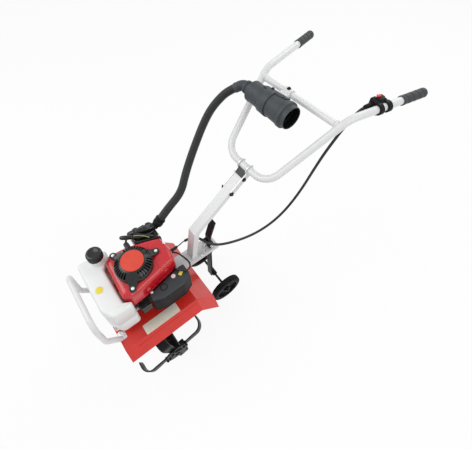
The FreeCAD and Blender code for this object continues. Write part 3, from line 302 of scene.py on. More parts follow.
def bar_box(centre, axes, sizes, corner=3.0, edge=1.0):
    """The same box about a centre, in its own three axes."""
    a, b, c = (value / 2 for value in sizes)
    corner, edge = min(corner, a / 1.1, b / 1.1), min(edge, c / 1.1)
    return prism(outline([(-a, -b), (a, -b), (a, b), (-a, b)], corner),
                 soft_levels(-c, c, edge, edge, 3), centre, axes)


def sheet_solid(grid, thickness):
    """A sheet of one thickness whose upper side is a grid of points; its edges are closed."""
    down_u, down_v = np.gradient(grid, axis=0), np.gradient(grid, axis=1)
    normal = unit(np.cross(down_u, down_v))
    normal = np.where(normal[..., 2:] < 0, -normal, normal)
    both = np.stack([grid, grid - normal * thickness])
    nu, nv = grid.shape[:2]
    index = np.arange(2 * nu * nv).reshape(2, nu, nv)

    def patch(block):
        return np.stack([block[:-1, :-1], block[1:, :-1], block[1:, 1:], block[:-1, 1:]],
                        -1).reshape(-1, 4)
    rim = np.concatenate([index[:, 0, :-1], index[:, :-1, -1], index[:, -1, :0:-1],
                          index[:, :0:-1, 0]], 1)
    rim = np.concatenate([rim, rim[:, :1]], 1)
    faces = [patch(index[0]), patch(index[1])[:, ::-1], patch(rim)[:, ::-1]]
    return both.reshape(-1, 3), np.concatenate(faces).tolist()


def screw(centre, axis, radius=4.5, height=3.0, washer=0.0):
    """A domed pan head with a round recess in its top, on a washer if one is wanted."""
    dome = [(0.0, radius), (height * 0.45, radius), (height * 0.85, radius * 0.8),
            (height, radius * 0.5), (height * 0.98, radius * 0.36), (height * 0.45, radius * 0.3),
            (height * 0.45, 0.01)]
    parts = [revolve([(-1.0, radius * 0.98)] + dome, centre, axis, 20)]
    if washer:
        parts.append(revolve([(-1.0, washer), (0.4, washer), (0.9, washer * 0.94),
                              (0.9, radius * 0.6)], centre, axis, 28))
    return parts


def hex_bolt(centre, axis, flats=10.0, height=5.5, washer=8.0, shank=0.0):
    """A six-sided head with a chamfered top, a washer under it and a bare shank if wanted."""
    reach = flats / math.sqrt(3)
    parts = [revolve([(0.8, reach), (height, reach), (height + 0.7, reach * 0.86),
                      (height + 0.7, 0.01)], centre, axis, 6),
             revolve([(-0.6, washer), (0.8, washer), (1.2, washer * 0.93), (1.2, 0.01)],
                     centre, axis, 28)]
    if shank:
        parts.append(revolve([(0, flats * 0.3), (shank, flats * 0.3),
                              (shank + 0.8, flats * 0.22)], centre, axis, 16))
    return parts


def each(fastener, spots, *shape):
    """The same fastener at every spot, with one axis and size."""
    return [part for spot in spots for part in fastener(spot, *shape)]


def disc(low, high, radius, chamfer, centre, axis, sides=32):
    """A closed round boss; chamfer = (its height, how far its edge moves in)."""
    return revolve([(low, radius), (high - chamfer[0], radius), (high, radius - chamfer[1]),
                    (high, 0.01)], centre, axis, sides)


# ------------------------------------------------------------------ making pieces
def put(name, data):
    """A new object of the scene that shows the data."""
    thing = bpy.data.objects.new(name, data)
    bpy.context.scene.collection.objects.link(thing)
    return thing


def build(name, groups, replaces=(), sharp=35.0, body="chassis"):
    """One mesh object from groups of (material, parts); each part is points and faces."""
    mesh = bpy.data.meshes.new(name)
    points, faces, paint, start, first = [], [], [], 0, {}
    for number, (material, parts) in enumerate(groups):
        mesh.materials.append(material)
        for part_points, part_faces in parts:
            if id(part_points) not in first:
                first[id(part_points)] = start
                points.append(part_points)
                start += len(part_points)
            base = first[id(part_points)]
            faces += [[corner + base for corner in face] for face in part_faces]
            paint += [number] * len(part_faces)
    mesh.from_pydata(place(np.concatenate(points)).tolist(), [], faces)
    if mesh.validate():
        raise RuntimeError(name + " had a broken face")
    mesh.polygons.foreach_set("material_index", paint)
    mesh.polygons.foreach_set("use_smooth", [True] * len(paint))
    mesh.set_sharp_from_angle(angle=math.radians(sharp))
    piece = put(name, mesh)
    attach(piece, body)
    if replaces:
        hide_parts(*replaces)
    return piece


def dress(node, material):
    """A CAD node that is shown as it is, with its finish."""
    mesh = NODES[node].data
    mesh.materials.clear()
    mesh.materials.append(material)


# ------------------------------------------------------------------ finishes
DUST_TINT = (0.40, 0.37, 0.33)
COAT_ROUGHNESS = 0.06
GRAIN_DEPTH = 0.0006


def finish(name, tint, rough=0.4, metal=0.0, coat=0.0, mottle=0.06, grain=0.0, grain_size=900.0,
           streak=1.0, dust=0.0, sheen=0.0, clear=0.0, rough_spread=0.10, shine=0.5):
    """A finish of soft mottling in colour and gloss, a fine grain, and dust low down.

    streak below 1 draws the gloss out along X, clear lets light scatter below the surface.

    Colour = tint * (1 + mottle * noise), mixed with the dust's colour by noise where the
    surface is near the ground; roughness = rough + spread * noise; bump = fine noise.
    """
    material = bpy.data.materials.get(name) or bpy.data.materials.new(name)
    material.use_nodes = True
    tree = material.node_tree
    tree.nodes.clear()
    make, link = tree.nodes.new, tree.links.new
    shader, output = make("ShaderNodeBsdfPrincipled"), make("ShaderNodeOutputMaterial")
    link(shader.outputs["BSDF"], output.inputs["Surface"])
    where = make("ShaderNodeTexCoord").outputs["Object"]

    def noise(scale, detail, stretch=None):
        node = make("ShaderNodeTexNoise")
        node.inputs["Scale"].default_value = scale
        node.inputs["Detail"].default_value = detail
        source = where
        if stretch:
            mapping = make("ShaderNodeMapping")
            mapping.inputs["Scale"].default_value = stretch
            link(where, mapping.inputs["Vector"])
            source = mapping.outputs["Vector"]
        link(source, node.inputs["Vector"])
        return node.outputs["Fac"]

    def spread(value, low, high, from_low=0.3, from_high=0.7):
        node = make("ShaderNodeMapRange")
        for socket, number in (("From Min", from_low), ("From Max", from_high),
                               ("To Min", low), ("To Max", high)):
            node.inputs[socket].default_value = number
        link(value, node.inputs["Value"])
        return node.outputs["Result"]

    patches = noise(38.0, 4.0)
    mix = make("ShaderNodeMix")
    mix.data_type = "RGBA"
    mix.inputs["A"].default_value = (*(max(0.0, c * (1 - mottle)) for c in tint), 1)
    mix.inputs["B"].default_value = (*(min(1.0, c * (1 + mottle)) for c in tint), 1)
    link(spread(patches, 0.0, 1.0), mix.inputs["Factor"])
    tone = mix.outputs["Result"]
    if dust:
        parts = make("ShaderNodeSeparateXYZ")
        link(where, parts.inputs["Vector"])
        low = spread(parts.outputs["Z"], dust, 0.0, 0.0, 0.25)
        product = make("ShaderNodeMath")
        product.operation = "MULTIPLY"
        link(low, product.inputs[0])
        link(spread(noise(120.0, 5.0), 0.0, 1.0, 0.45, 0.65), product.inputs[1])
        over = make("ShaderNodeMix")
        over.data_type = "RGBA"
        link(product.outputs["Value"], over.inputs["Factor"])
        link(tone, over.inputs["A"])
        over.inputs["B"].default_value = (*DUST_TINT, 1)
        tone = over.outputs["Result"]
    link(tone, shader.inputs["Base Color"])
    gloss = noise(75.0, 3.0, (streak, 1.0, 1.0))
    link(spread(gloss, max(0.02, rough - rough_spread / 2), min(1.0, rough + rough_spread / 2)),
         shader.inputs["Roughness"])
    if grain:
        bump = make("ShaderNodeBump")
        bump.inputs["Strength"].default_value = grain
        bump.inputs["Distance"].default_value = GRAIN_DEPTH
        link(noise(grain_size, 2.0), bump.inputs["Height"])
        link(bump.outputs["Normal"], shader.inputs["Normal"])
    for socket, value in (("Metallic", metal), ("Specular IOR Level", shine),
                          ("Coat Weight", coat), ("Coat Roughness", COAT_ROUGHNESS),
                          ("Sheen Weight", sheen)):
        shader.inputs[socket].default_value = value
    if clear:
        shader.inputs["Subsurface Weight"].default_value = clear
        shader.inputs["Subsurface Radius"].default_value = (1.0, 1.0, 1.0)
        shader.inputs["Subsurface Scale"].default_value = 0.006
    return material


def finishes(colours):
    """Every finish of the machine, by name."""
    def darker(tint, share):
        return tuple(part * share for part in tint)
    return {
        "tube": finish("white_powder_coat", colours.tube, 0.32, coat=0.12, mottle=0.008,
                       rough_spread=0.04),
        "silver": finish("silver_paint", colours.silver, 0.38, metal=0.30, mottle=0.03,
                         grain=0.02, grain_size=700, dust=0.12),
        "cover": finish("red_gloss_plastic", colours.cover, 0.26, coat=0.45, mottle=0.05,
                        grain=0.03, grain_size=700, shine=0.4),
        "fender": finish("red_paint", colours.fender, 0.36, coat=0.25, mottle=0.05,
                         grain=0.06, grain_size=1100, dust=0.06, shine=0.4),
        "badge": finish("badge_orange_red", colours.badge, 0.42, mottle=0.04, grain=0.05,
                        shine=0.3),
        "gloss_black": finish("black_gloss_plastic", colours.black, 0.20, coat=0.35,
                              mottle=0.12, grain=0.03, grain_size=700, shine=0.25),
        "satin_black": finish("black_moulded_plastic", colours.black, 0.46, mottle=0.18,
                              grain=0.20, grain_size=1800, dust=0.03, shine=0.12),
        "paint_black": finish("black_paint", colours.black, 0.36, coat=0.03, mottle=0.2,
                              grain=0.10, grain_size=1100, dust=0.03, shine=0.09),
        "grey": finish("dark_grey_plastic", colours.grey, 0.50, mottle=0.08, grain=0.16,
                       grain_size=1700, shine=0.3),
        # the guard's top in a lighter grey than its black wall: painted light on the top of one
        # part
        "guard": finish("guard_top_painted_light", darker(colours.grey, 0.75), 0.46, mottle=0.08,
                        grain=0.15, grain_size=1500, shine=0.25),
        "cast": finish("cast_aluminium", (0.035, 0.035, 0.037), 0.55, metal=0.5, mottle=0.18,
                       grain=0.4, grain_size=900, dust=0.08, shine=0.3),
        "zinc": finish("zinc_plate", (0.78, 0.78, 0.76), 0.30, metal=0.9, mottle=0.06,
                       grain=0.08, streak=0.2),
        "steel": finish("bare_steel", (0.50, 0.50, 0.51), 0.34, metal=0.95, mottle=0.08,
                        grain=0.15, streak=0.1),
        "dark_bolt": finish("black_oxide", (0.016, 0.016, 0.018), 0.38, metal=0.5, mottle=0.2,
                            grain=0.1, shine=0.3),
        "tank": finish("milky_plastic", colours.tank, 0.36, mottle=0.012, grain=0.05,
                       grain_size=500, clear=0.35),
        "rubber": finish("grip_rubber", colours.rubber, 0.62, mottle=0.10, grain=0.25,
                         grain_size=2200, sheen=0.1, shine=0.3),
        "hose": finish("hose_rubber", darker(colours.rubber, 0.36), 0.40, mottle=0.15,
                       grain=0.15, grain_size=1500, shine=0.35),
        "tyre": finish("tyre_rubber", darker(colours.rubber, 0.2), 0.62, mottle=0.25,
                       grain=0.4, grain_size=1600, dust=0.05, shine=0.08),
        "cream": finish("blank_label", colours.cream, 0.45, mottle=0.04, grain=0.08),
        "yellow": finish("yellow_sticker", colours.yellow, 0.40, mottle=0.04, grain=0.05),
        "pink": finish("pink_sticker", (0.82, 0.70, 0.72), 0.40, mottle=0.03, grain=0.05),
        "switch": finish("red_switch", (0.70, 0.03, 0.03), 0.30, coat=0.3, mottle=0.05),
        "earth": finish("earth_wire", (0.33, 0.42, 0.10), 0.45, mottle=0.15, grain=0.05),
        # near-black painted shade, laid into the cover's slots, the stake's holes, the throttle's
        # parting gap, the guard's pressed ring and the can's mouth
        "hollow": finish("deep_shade", (0.004, 0.0045, 0.005), 0.75, mottle=0.2, grain=0.1,
                         shine=0.1),
    }


# ------------------------------------------------------------------ the machine's own lines
BAR_CORNERS = np.array([(-236.5, 966, 883), (-175, 683, 873), (-100, 454, 676),
                        (100, 454, 676), (175, 683, 873), (236.5, 966, 883)], float)
BAR_RADIUS, BAR_BEND = 12.5, 70.0
CROSSBAR = np.array([167.47, 660.0, 853.22])
GRIP_LENGTH = 95.0
SHAFT = np.array([0.0, -16.0, 135.0])
ARM = unit(BAR_CORNERS[5] - BAR_CORNERS[4])
CAN_LINE = np.array([0.0, 573.0, 855.0])
CROSSBAR_RADIUS, BUMPER_RADIUS = 11.0, 9.0
HOSE_RADIUS, CABLE_RADIUS, WIRE_RADIUS = 15.0, 5.0, 2.0
LUG_CIRCLE, LUG_TOP = 80.0, 515.5
FENDER_TOP, FENDER_SHEET = 319.0, 2.0
FENDER_FLAT, FENDER_HALF_WIDTH, SIDE_DROP = 148.0, 180.0, 41.0
FENDER_FRONT, FLAP_FOLD, FENDER_BACK, FLAP_DROP = -152.0, 126.0, 203.0, 98.0
OUTER_FACE, INNER_FACE, FLANGE = 202.0, 112.0, 6.0
AXLE = np.array([0.0, 301.0, 70.0])
WHEEL_MIDDLE, AXLE_END = 100.0, 118.0
STARTER_RADIUS = 62.0
SHROUD_PLAN = [(-89, -53), (-66, -75), (70, -81), (87, -56), (85, -20), (57, 118), (12, 127),
               (-45, 121), (-64, 73), (-84, 9)]
GUARD_PLAN = [(85.5, -8), (112, -10), (127, 24), (127, 104), (110, 140), (60.5, 140), (60.5, 118)]
TANK_PLAN = [(-126, -151), (62.4, -151), (104, -125), (104, -62), (88, -62), (74, -84),
             (-61, -84), (-94, -52), (-126, -52)]
AIR_BOX_PLAN = [(-138, 58), (-124, 38), (-78, 38), (-67, 73), (-48, 128), (-132, 128),
                (-138, 118)]
BOOT_ROOT, BOOT_REACH = np.array([-22.0, 112.0, 410.0]), np.array([-2.0, 54.0, 2.0])
COLLAR_START, COLLAR_ROOT = np.array([-100.0, 160.0, 515.0]), np.array([-102.0, 128.0, 488.0])
COLLAR_AHEAD = unit(np.array([-3.0, 40.0, 32.0]))
NECK = np.array([-142.0, 573.0, 855.0])
ELBOW = np.array([NECK, NECK + (-26, 0, 0), NECK + (-46, -20, -17)])
HOSE = np.array([COLLAR_START, COLLAR_START + COLLAR_AHEAD * 44, (-117, 261, 565),
                 (-152, 306, 602), (-180, 352, 640), (-203, 398, 680), (-217, 437, 722),
                 (-222, 472, 762), (-217, 505, 795),
                 ELBOW[2] + unit(ELBOW[2] - ELBOW[1]) * 28, ELBOW[2]])
CABLE_TAIL = [(160, 738, 856), (153, 719, 820), (147, 703, 780), (134, 684, 703),
              (122, 672, 619), (111, 657, 527), (101, 632, 447), (91, 598, 381),
              (79, 549, 330), (68, 482, 310), (57, 410, 318), (48, 332, 352),
              (38, 290, 378), (20, 267, 395), (0, 257, 402), (-18, 244, 405),
              (-29, 224, 405), (-31, 202, 405)]


def throttle_axes():
    """Middle of the throttle housing on the left arm, with its three axes."""
    side = unit(np.cross(ARM, UP))
    run = np.linalg.norm(BAR_CORNERS[5] - BAR_CORNERS[4])
    middle = BAR_CORNERS[4] + ARM * (run - 166.0)
    return middle, ARM, side, np.cross(side, ARM)


def cable_route():
    """Points of the conduit, from the throttle housing to behind the engine."""
    middle, ahead, side, up = throttle_axes()
    outlet = middle - ahead * 23.0 - side * 24.0 + up * 2.0
    return [outlet, outlet - ahead * 28.0] + [np.array(p, float) for p in CABLE_TAIL]


def wire_route():
    """Points of the bare wire, from the conduit's end to the boot."""
    conduit = cable_route()
    ahead = unit(conduit[-1] - conduit[-2])
    tip = BOOT_ROOT + BOOT_REACH
    return [conduit[-1], conduit[-1] + ahead * 10.0, tip + BOOT_REACH * 0.25, tip]


# ------------------------------------------------------------------ cords
def nurbs(name, points, radius):
    """An open NURBS curve of order 3 that is drawn towards the cord's control points."""
    curve = bpy.data.curves.new(name, "CURVE")
    curve.dimensions = "3D"
    spline = curve.splines.new("NURBS")
    spline.points.add(len(points) - 1)
    where = np.concatenate([place(points), np.ones((len(points), 1))], 1)
    spline.points.foreach_set("co", where.ravel())
    spline.order_u = 3
    spline.use_endpoint_u = True
    curve.resolution_u = 12
    curve.bevel_depth = radius / 1000
    curve.bevel_resolution = 5
    curve.use_fill_caps = True
    return curve


def centreline(name, points):
    """Dense machine points of the cord's own NURBS line, and the running length at each."""
    curve = nurbs(name + "_line", points, 0.0)
    holder = put(name + "_line", curve)
    mesh = bpy.data.meshes.new_from_object(holder)
    line = np.empty(len(mesh.vertices) * 3)
    mesh.vertices.foreach_get("co", line)
    bpy.data.objects.remove(holder)
    bpy.data.meshes.remove(mesh)
    line = (line.reshape(-1, 3) - np.array([0.0, CRANK, 0.0])) * 1000.0
    run = np.concatenate([[0], np.cumsum(np.linalg.norm(np.diff(line, axis=0), axis=1))])
    return line, run


def resample(line, run, step):
    """The same line at even steps of its own length."""
    even = np.linspace(0, run[-1], int(run[-1] / step) + 1)
    return np.stack([np.interp(even, run, line[:, axis]) for axis in range(3)], 1), even


# ------------------------------------------------------------------ stage
CAMERA_AZIMUTH, CAMERA_RISE, CAMERA_ROLL = (math.radians(v) for v in (52.06, 50.64, 0.37))
CAMERA_PLACE = (538.9, -60.7, 1480.1)
CAMERA_LENS, CAMERA_SHIFT, CAMERA_REACH = 24.85, (0.0272, -0.0833), 60.0
LAMPS = (("key", (-1.4, -2.2, 3.2), 2.6, 62.0), ("side", (2.8, 0.6, 2.2), 2.2, 30.0),
         ("rear", (-0.6, 3.0, 2.6), 2.4, 30.0))     # name, place in m, width in m, watts
LAMP_TARGET = np.array([0.0, 0.0, 0.4])
SKY_STRENGTH = 0.55
SKY_WHITE, FLOOR_WHITE = 1.0, 0.9                   # share of plain white to the camera
FLOOR_REACH = 14.0
PLAIN_WHITE = (1, 1, 1, 1)


class WEEDER_OT_stage(bpy.types.Operator):
    """Camera, plain floor, soft lights and a pale sky"""
    bl_idname = "weeder.stage"
    bl_label = "Stage"

    def execute(self, context):
        azimuth, rise, roll = CAMERA_AZIMUTH, CAMERA_RISE, CAMERA_ROLL
        back = np.array([math.sin(azimuth) * math.cos(rise),
                         -math.cos(azimuth) * math.cos(rise), math.sin(rise)])
        right = np.array([math.cos(azimuth), math.sin(azimuth), 0.0])
        up = np.cross(back, right)
        turned = math.cos(roll) * right + math.sin(roll) * up
        up = -math.sin(roll) * right + math.cos(roll) * up
        camera = bpy.data.cameras.new("camera")
        camera.sensor_width = 36.0
        camera.lens = CAMERA_LENS
        camera.shift_x, camera.shift_y = CAMERA_SHIFT
        camera.clip_end = CAMERA_REACH
        view = put("camera", camera)
        matrix = np.eye(4)
        matrix[:3, :3] = np.stack([turned, up, back], 1)
        matrix[:3, 3] = place(CAMERA_PLACE)
        view.matrix_world = Matrix(matrix.tolist())
        context.scene.camera = view

        for name, spot, size, power in LAMPS:
            lamp = bpy.data.lights.new(name, "AREA")
            lamp.energy, lamp.size = power, size
            light = put(name, lamp)
            light.location = spot
            aim = LAMP_TARGET - np.array(spot)
            light.rotation_euler = (math.acos(-aim[2] / np.linalg.norm(aim)), 0.0,
                                    math.atan2(aim[1], aim[0]) - math.pi / 2)

        world = bpy.data.worlds.new("pale_sky")
        context.scene.world = world
        world.use_nodes = True
        tree = world.node_tree
        sky = tree.nodes["Background"]
        sky.inputs["Color"].default_value = PLAIN_WHITE
        sky.inputs["Strength"].default_value = SKY_STRENGTH
        seen = tree.nodes.new("ShaderNodeBackground")
        seen.inputs["Color"].default_value = PLAIN_WHITE
        self.white_to_camera(tree, sky, seen, tree.nodes["World Output"], SKY_WHITE)

        ground = bpy.data.materials.new("pale_floor")
        ground.use_nodes = True
        tree = ground.node_tree
        shader = tree.nodes["Principled BSDF"]
        shader.inputs["Base Color"].default_value = (0.86, 0.86, 0.86, 1)
        shader.inputs["Roughness"].default_value = 0.9
        glow = tree.nodes.new("ShaderNodeEmission")
        glow.inputs["Color"].default_value = PLAIN_WHITE
        self.white_to_camera(tree, shader, glow, tree.nodes["Material Output"], FLOOR_WHITE)
        mesh = bpy.data.meshes.new("floor")
        reach = FLOOR_REACH
        mesh.from_pydata([(-reach, -reach, 0), (reach, -reach, 0), (reach, reach, 0),
                          (-reach, reach, 0)], [], [(0, 1, 2, 3)])
        mesh.materials.append(ground)
        floor = put("floor", mesh)
        context.scene.view_settings.view_transform = "Standard"
        return {"FINISHED"}

    @staticmethod
    def white_to_camera(tree, lit, white, output, share):
        """To the camera, and in mirror-like finishes, a share of plain white."""
        path = tree.nodes.new("ShaderNodeLightPath")
        either = tree.nodes.new("ShaderNodeMath")
        either.operation = "MAXIMUM"
        tree.links.new(path.outputs["Is Camera Ray"], either.inputs[0])
        tree.links.new(path.outputs["Is Glossy Ray"], either.inputs[1])
        scaled = tree.nodes.new("ShaderNodeMath")
        scaled.operation = "MULTIPLY"
        tree.links.new(either.outputs["Value"], scaled.inputs[0])
        scaled.inputs[1].default_value = share
        mix = tree.nodes.new("ShaderNodeMixShader")
        tree.links.new(scaled.outputs["Value"], mix.inputs["Fac"])
        tree.links.new(lit.outputs[0], mix.inputs[1])
        tree.links.new(white.outputs[0], mix.inputs[2])
        tree.links.new(mix.outputs[0], output.inputs["Surface"])


class WEEDER_OT_cords(bpy.types.Operator):
    """Ribbed intake hose, throttle cable and its bare wire"""
    bl_idname = "weeder.cords"
    bl_label = "Hose and cable"

    def execute(self, context):
        paint = finishes(context.scene.weeder_colours)
        sizes = context.scene.weeder_sizes
        pitch, ring = sizes.hose_pitch * 1000, sizes.hose_ring * 1000
        line, run = centreline("intake_hose", HOSE)
        path, along = resample(line, run, pitch / 6)
        # radius = outer radius less a ring's height times a raised cosine along the hose
        radius = HOSE_RADIUS - ring * (0.5 - 0.5 * np.cos(2 * np.pi * along / pitch)) ** 0.7
        hose = build("ribbed_hose",
                     [(paint["hose"], [tube(path, radius, 40)])], ["intake_hose"], 60)
        for name, node, points, size, material in (
                ("throttle_conduit", "throttle_cable", cable_route(), CABLE_RADIUS, "hose"),
                ("bare_wire", "throttle_wire", wire_route(), WIRE_RADIUS, "dark_bolt")):
            _, run = centreline(name, points)
            curve = nurbs(name, points, size)
            curve.materials.append(paint[material])
            piece = put(name, curve)
            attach(piece, "chassis")
            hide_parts(node)
        return {"FINISHED"}


class WEEDER_OT_handlebar(bpy.types.Operator):
    """Bent tube, crossbar with weld beads and the two ribbed grips"""
    bl_idname = "weeder.handlebar"
    bl_label = "Handlebar"

    def execute(self, context):
        paint = finishes(context.scene.weeder_colours)
        sizes = context.scene.weeder_sizes
        path = bent(BAR_CORNERS, BAR_BEND)
        joints = []
        for sign in (1, -1):
            joint = on_side(CROSSBAR, sign)
            inward = X_AXIS * -sign
            # the weld's bead: a lumpy ring where the crossbar meets the leg
            bead = [(t, 14.2 - abs(t - 14) * 0.5) for t in np.linspace(9, 19, 9)]
            joints.append(revolve(bead, joint, inward, 36, None,
                                  lambda a, t: 0.35 * np.sin(11 * t)))
        span = revolve([(0, CROSSBAR_RADIUS), (2 * CROSSBAR[0], CROSSBAR_RADIUS)], CROSSBAR,
                       -X_AXIS, 36)
        bar = tube(path, BAR_RADIUS, 36, np.array([0.0, 0.35, 0.94]))
        build("handlebar", [(paint["tube"], [bar, span] + joints)],
              ["handlebar_tube", "handlebar_crossbar"])
        pitch, groove = sizes.grip_pitch * 1000, sizes.grip_groove * 1000
        for side, sign in SIDES:
            ahead, end = on_side(ARM, sign), on_side(BAR_CORNERS[5], sign)
            along = np.linspace(0, GRIP_LENGTH, 140)
            cap = np.clip((along - GRIP_LENGTH + 7.0) / 7.0, 0, 1)
            flange = 0.4 * np.exp(-((along - 3.0) / 2.4) ** 2)
            body = 15.6 - 4.6 * cap ** 2.2 + np.where(along < 8, flange, 0)
            profile = np.stack([along, body], 1)

            def spiral(a, t):
                """A groove where along / pitch - turn / 2 pi is near a whole number."""
                phase = (a / pitch - sign * t / (2 * np.pi)) % 1.0
                inside = np.clip((a - 6) / 4, 0, 1)
                inside *= np.clip((GRIP_LENGTH - 9 - a) / 4, 0, 1)
                return -groove * inside * np.exp(-((phase - 0.5) / 0.13) ** 2)
            sleeve = revolve(profile, end - ahead * GRIP_LENGTH, ahead, 64, None, spiral)
            build(side + "_hand_grip", [(paint["rubber"], [sleeve])],
                  [side + "_grip"], 60)
        return {"FINISHED"}


class WEEDER_OT_throttle(bpy.types.Operator):
    """Throttle housing with its lever, stop switch, screws and cable exit"""
    bl_idname = "weeder.throttle"
    bl_label = "Throttle"

    def execute(self, context):
        paint = finishes(context.scene.weeder_colours)
        middle, ahead, side, up = throttle_axes()

        def spot(a, b, c):
            return middle + ahead * a + side * b + up * c
        axes = (ahead, side, up)
        black = [bar_box(spot(0, -23, 3), axes, (45, 35, 31), 9, 6),
                 bar_box(spot(4, -23, 18), axes, (30, 26, 8), 7, 3),
                 bar_box(spot(-14, -22, 2), axes, (16, 30, 24), 6, 4)]
        for low, high in ((-22.6, -8), (8, 22.6)):
            band = [(low, 17.4), (low + 1, 18.4), (high - 1, 18.4), (high, 17.4), (high, 12.8),
                    (low, 12.8)]
            black.append(revolve(band, middle, ahead, 40, loop=True))
        share = np.linspace(0, 1, 16)
        swing = (spot(6, -30, -6) + share[:, None] * (-ahead * 44 - side * 4 - up * 2)
                 - up * 7 * np.sin(share[:, None] * 2.2))
        black.append(tube(swing, 0, 20, side, (8.0 * (1 - 0.35 * share), np.full(16, 2.6))))
        outlet = cable_route()[0]
        black.append(revolve([(-3, 9.0), (4, 8.6), (10, 7.6), (24, 6.4), (27, 5.4)], outlet,
                             -ahead, 28))
        # the parting seam as a thin near-black band: painted shade of the gap
        seam = [bar_box(spot(0, -23, 3.4), axes, (45.6, 35.6, 0.8), 9, 0.3)]
        bolts = each(screw, [spot(16, -15, 21.8), spot(-6, -31, 21.8)], up, 2.8, 1.4)
        clamp = hex_bolt(spot(-15, -2, -19.4), -up, 8, 4, 6, 6)
        lug = [bar_box(spot(-15, -2, -16), axes, (13, 12, 8), 3, 2)]
        build("throttle_body",
              [(paint["satin_black"], black), (paint["hollow"], seam),
               (paint["zinc"], bolts + clamp), (paint["tube"], lug)], ["throttle_housing"])
        knob = middle - side * 28.0 + up * 22.0
        rocker = [bar_box(knob + up * 2.4, axes, (13, 10, 6.5), 3.5, 2.4)]
        build("stop_rocker", [(paint["switch"], rocker)],
              ["stop_switch"])
        return {"FINISHED"}


class WEEDER_OT_precleaner(bpy.types.Operator):
    """Pre-cleaner can with its mouth ring, pad and neck, and its bracket"""
    bl_idname = "weeder.precleaner"
    bl_label = "Pre-cleaner"

    def execute(self, context):
        paint = finishes(context.scene.weeder_colours)
        shell = [(-142, 20.6), (-128, 21), (-126.5, 27), (-124.5, 31), (-121, 35.6), (-112, 36),
                 (-110, 35.2), (-106, 34.6), (16, 41.2), (20, 41.6), (23, 41.0), (25, 43.0),
                 (27, 44.0), (37, 44.0), (38, 43.2), (39, 39), (41, 37.4), (52, 37.4),
                 (54.5, 37.2), (56, 36.2), (55.6, 35.0), (54, 34.6), (30, 34.6), (26, 31.2),
                 (-50, 31.0), (-61, 28.0), (-64, 18.0), (-64, 0.01)]
        # the inside of the can gets near-black painted shade while the outside is grey
        outer, inner = split(revolve(shell, CAN_LINE, X_AXIS, 72), 72, shell.index((54, 34.6)))
        # two flat pads along the top, one on the other, laid at the taper's slope
        slant = unit(np.array([1.0, 0, 0.053]))
        out = unit(np.array([0, 0.436, 0.9]) - slant * 0.0477)
        lean = (slant, np.cross(out, slant), out)
        top = CAN_LINE + out * 40.2
        pads = [bar_box(top - slant * 38, lean, (84, 27, 5), 4, 1.2),
                bar_box(top - slant * 24 + out * 2.6, lean, (48, 15, 3), 2.5, 0.8),
                bar_box(top + slant * 12 + out * 1.4, lean, (12, 22, 4), 2.5, 0.8)]
        ribs = [bar_box(CAN_LINE + (x, 0, -36.0 - 0.05 * (x + 60)), (slant, Y_AXIS,
                        np.cross(slant, Y_AXIS)), (3, 12, 4), 1, 0.6) for x in range(-96, 1, 24)]
        build("cleaner_can",
              [(paint["grey"], [outer] + pads + ribs), (paint["hollow"], [inner])],
              ["precleaner_can"], 28)
        bar = CROSSBAR * np.array([0, 1, 1])
        link = unit(bar - CAN_LINE)
        gap = np.linalg.norm(bar - CAN_LINE)
        ring = [revolve([(-62, 37.4), (-62, 40.6), (-61, 41.2), (-29, 42.9), (-28, 42.4),
                         (-28, 39.4)], CAN_LINE, X_AXIS, 72, loop=True)]
        saddle = [revolve([(-62, 11.2), (-62, 15.4), (-61, 16), (-29, 16), (-28, 15.4),
                           (-28, 11.2)], bar, X_AXIS, 40, loop=True),
                  bar_box(CAN_LINE + link * (gap + 27) / 2 - X_AXIS * 45,
                          (X_AXIS, link, np.cross(X_AXIS, link)), (33.6, gap - 52, 16), 2, 1.2)]
        build("bracket",
              [(paint["grey"], ring), (paint["tube"], saddle)], ["can_bracket"])
        path = bent(ELBOW, 34.0, 1.5)
        share = np.linspace(0, 1, len(path))
        radius = 18.4 - 1.6 * share + 0.5 * np.cos(share * 60) * (share > 0.3)
        cuff = [tube(path, radius, 40, Y_AXIS * 0.6 + UP),
                revolve([(-1, 18), (-1, 22.4), (3, 23.0), (9, 22.4), (11, 19.6), (11, 17)], NECK,
                        -X_AXIS, 40)]
        build("hose_cuff", [(paint["grey"], cuff)], ["can_elbow"])
        pin = hex_bolt(top - slant * 50 + out * 4.2, out, 7, 4, 6)
        pin += hex_bolt(bar - X_AXIS * 45 + UP * 16.0, UP, 8, 4.5, 7, 5)
        build("bracket_bolts", [(paint["dark_bolt"], pin)])
        return {"FINISHED"}


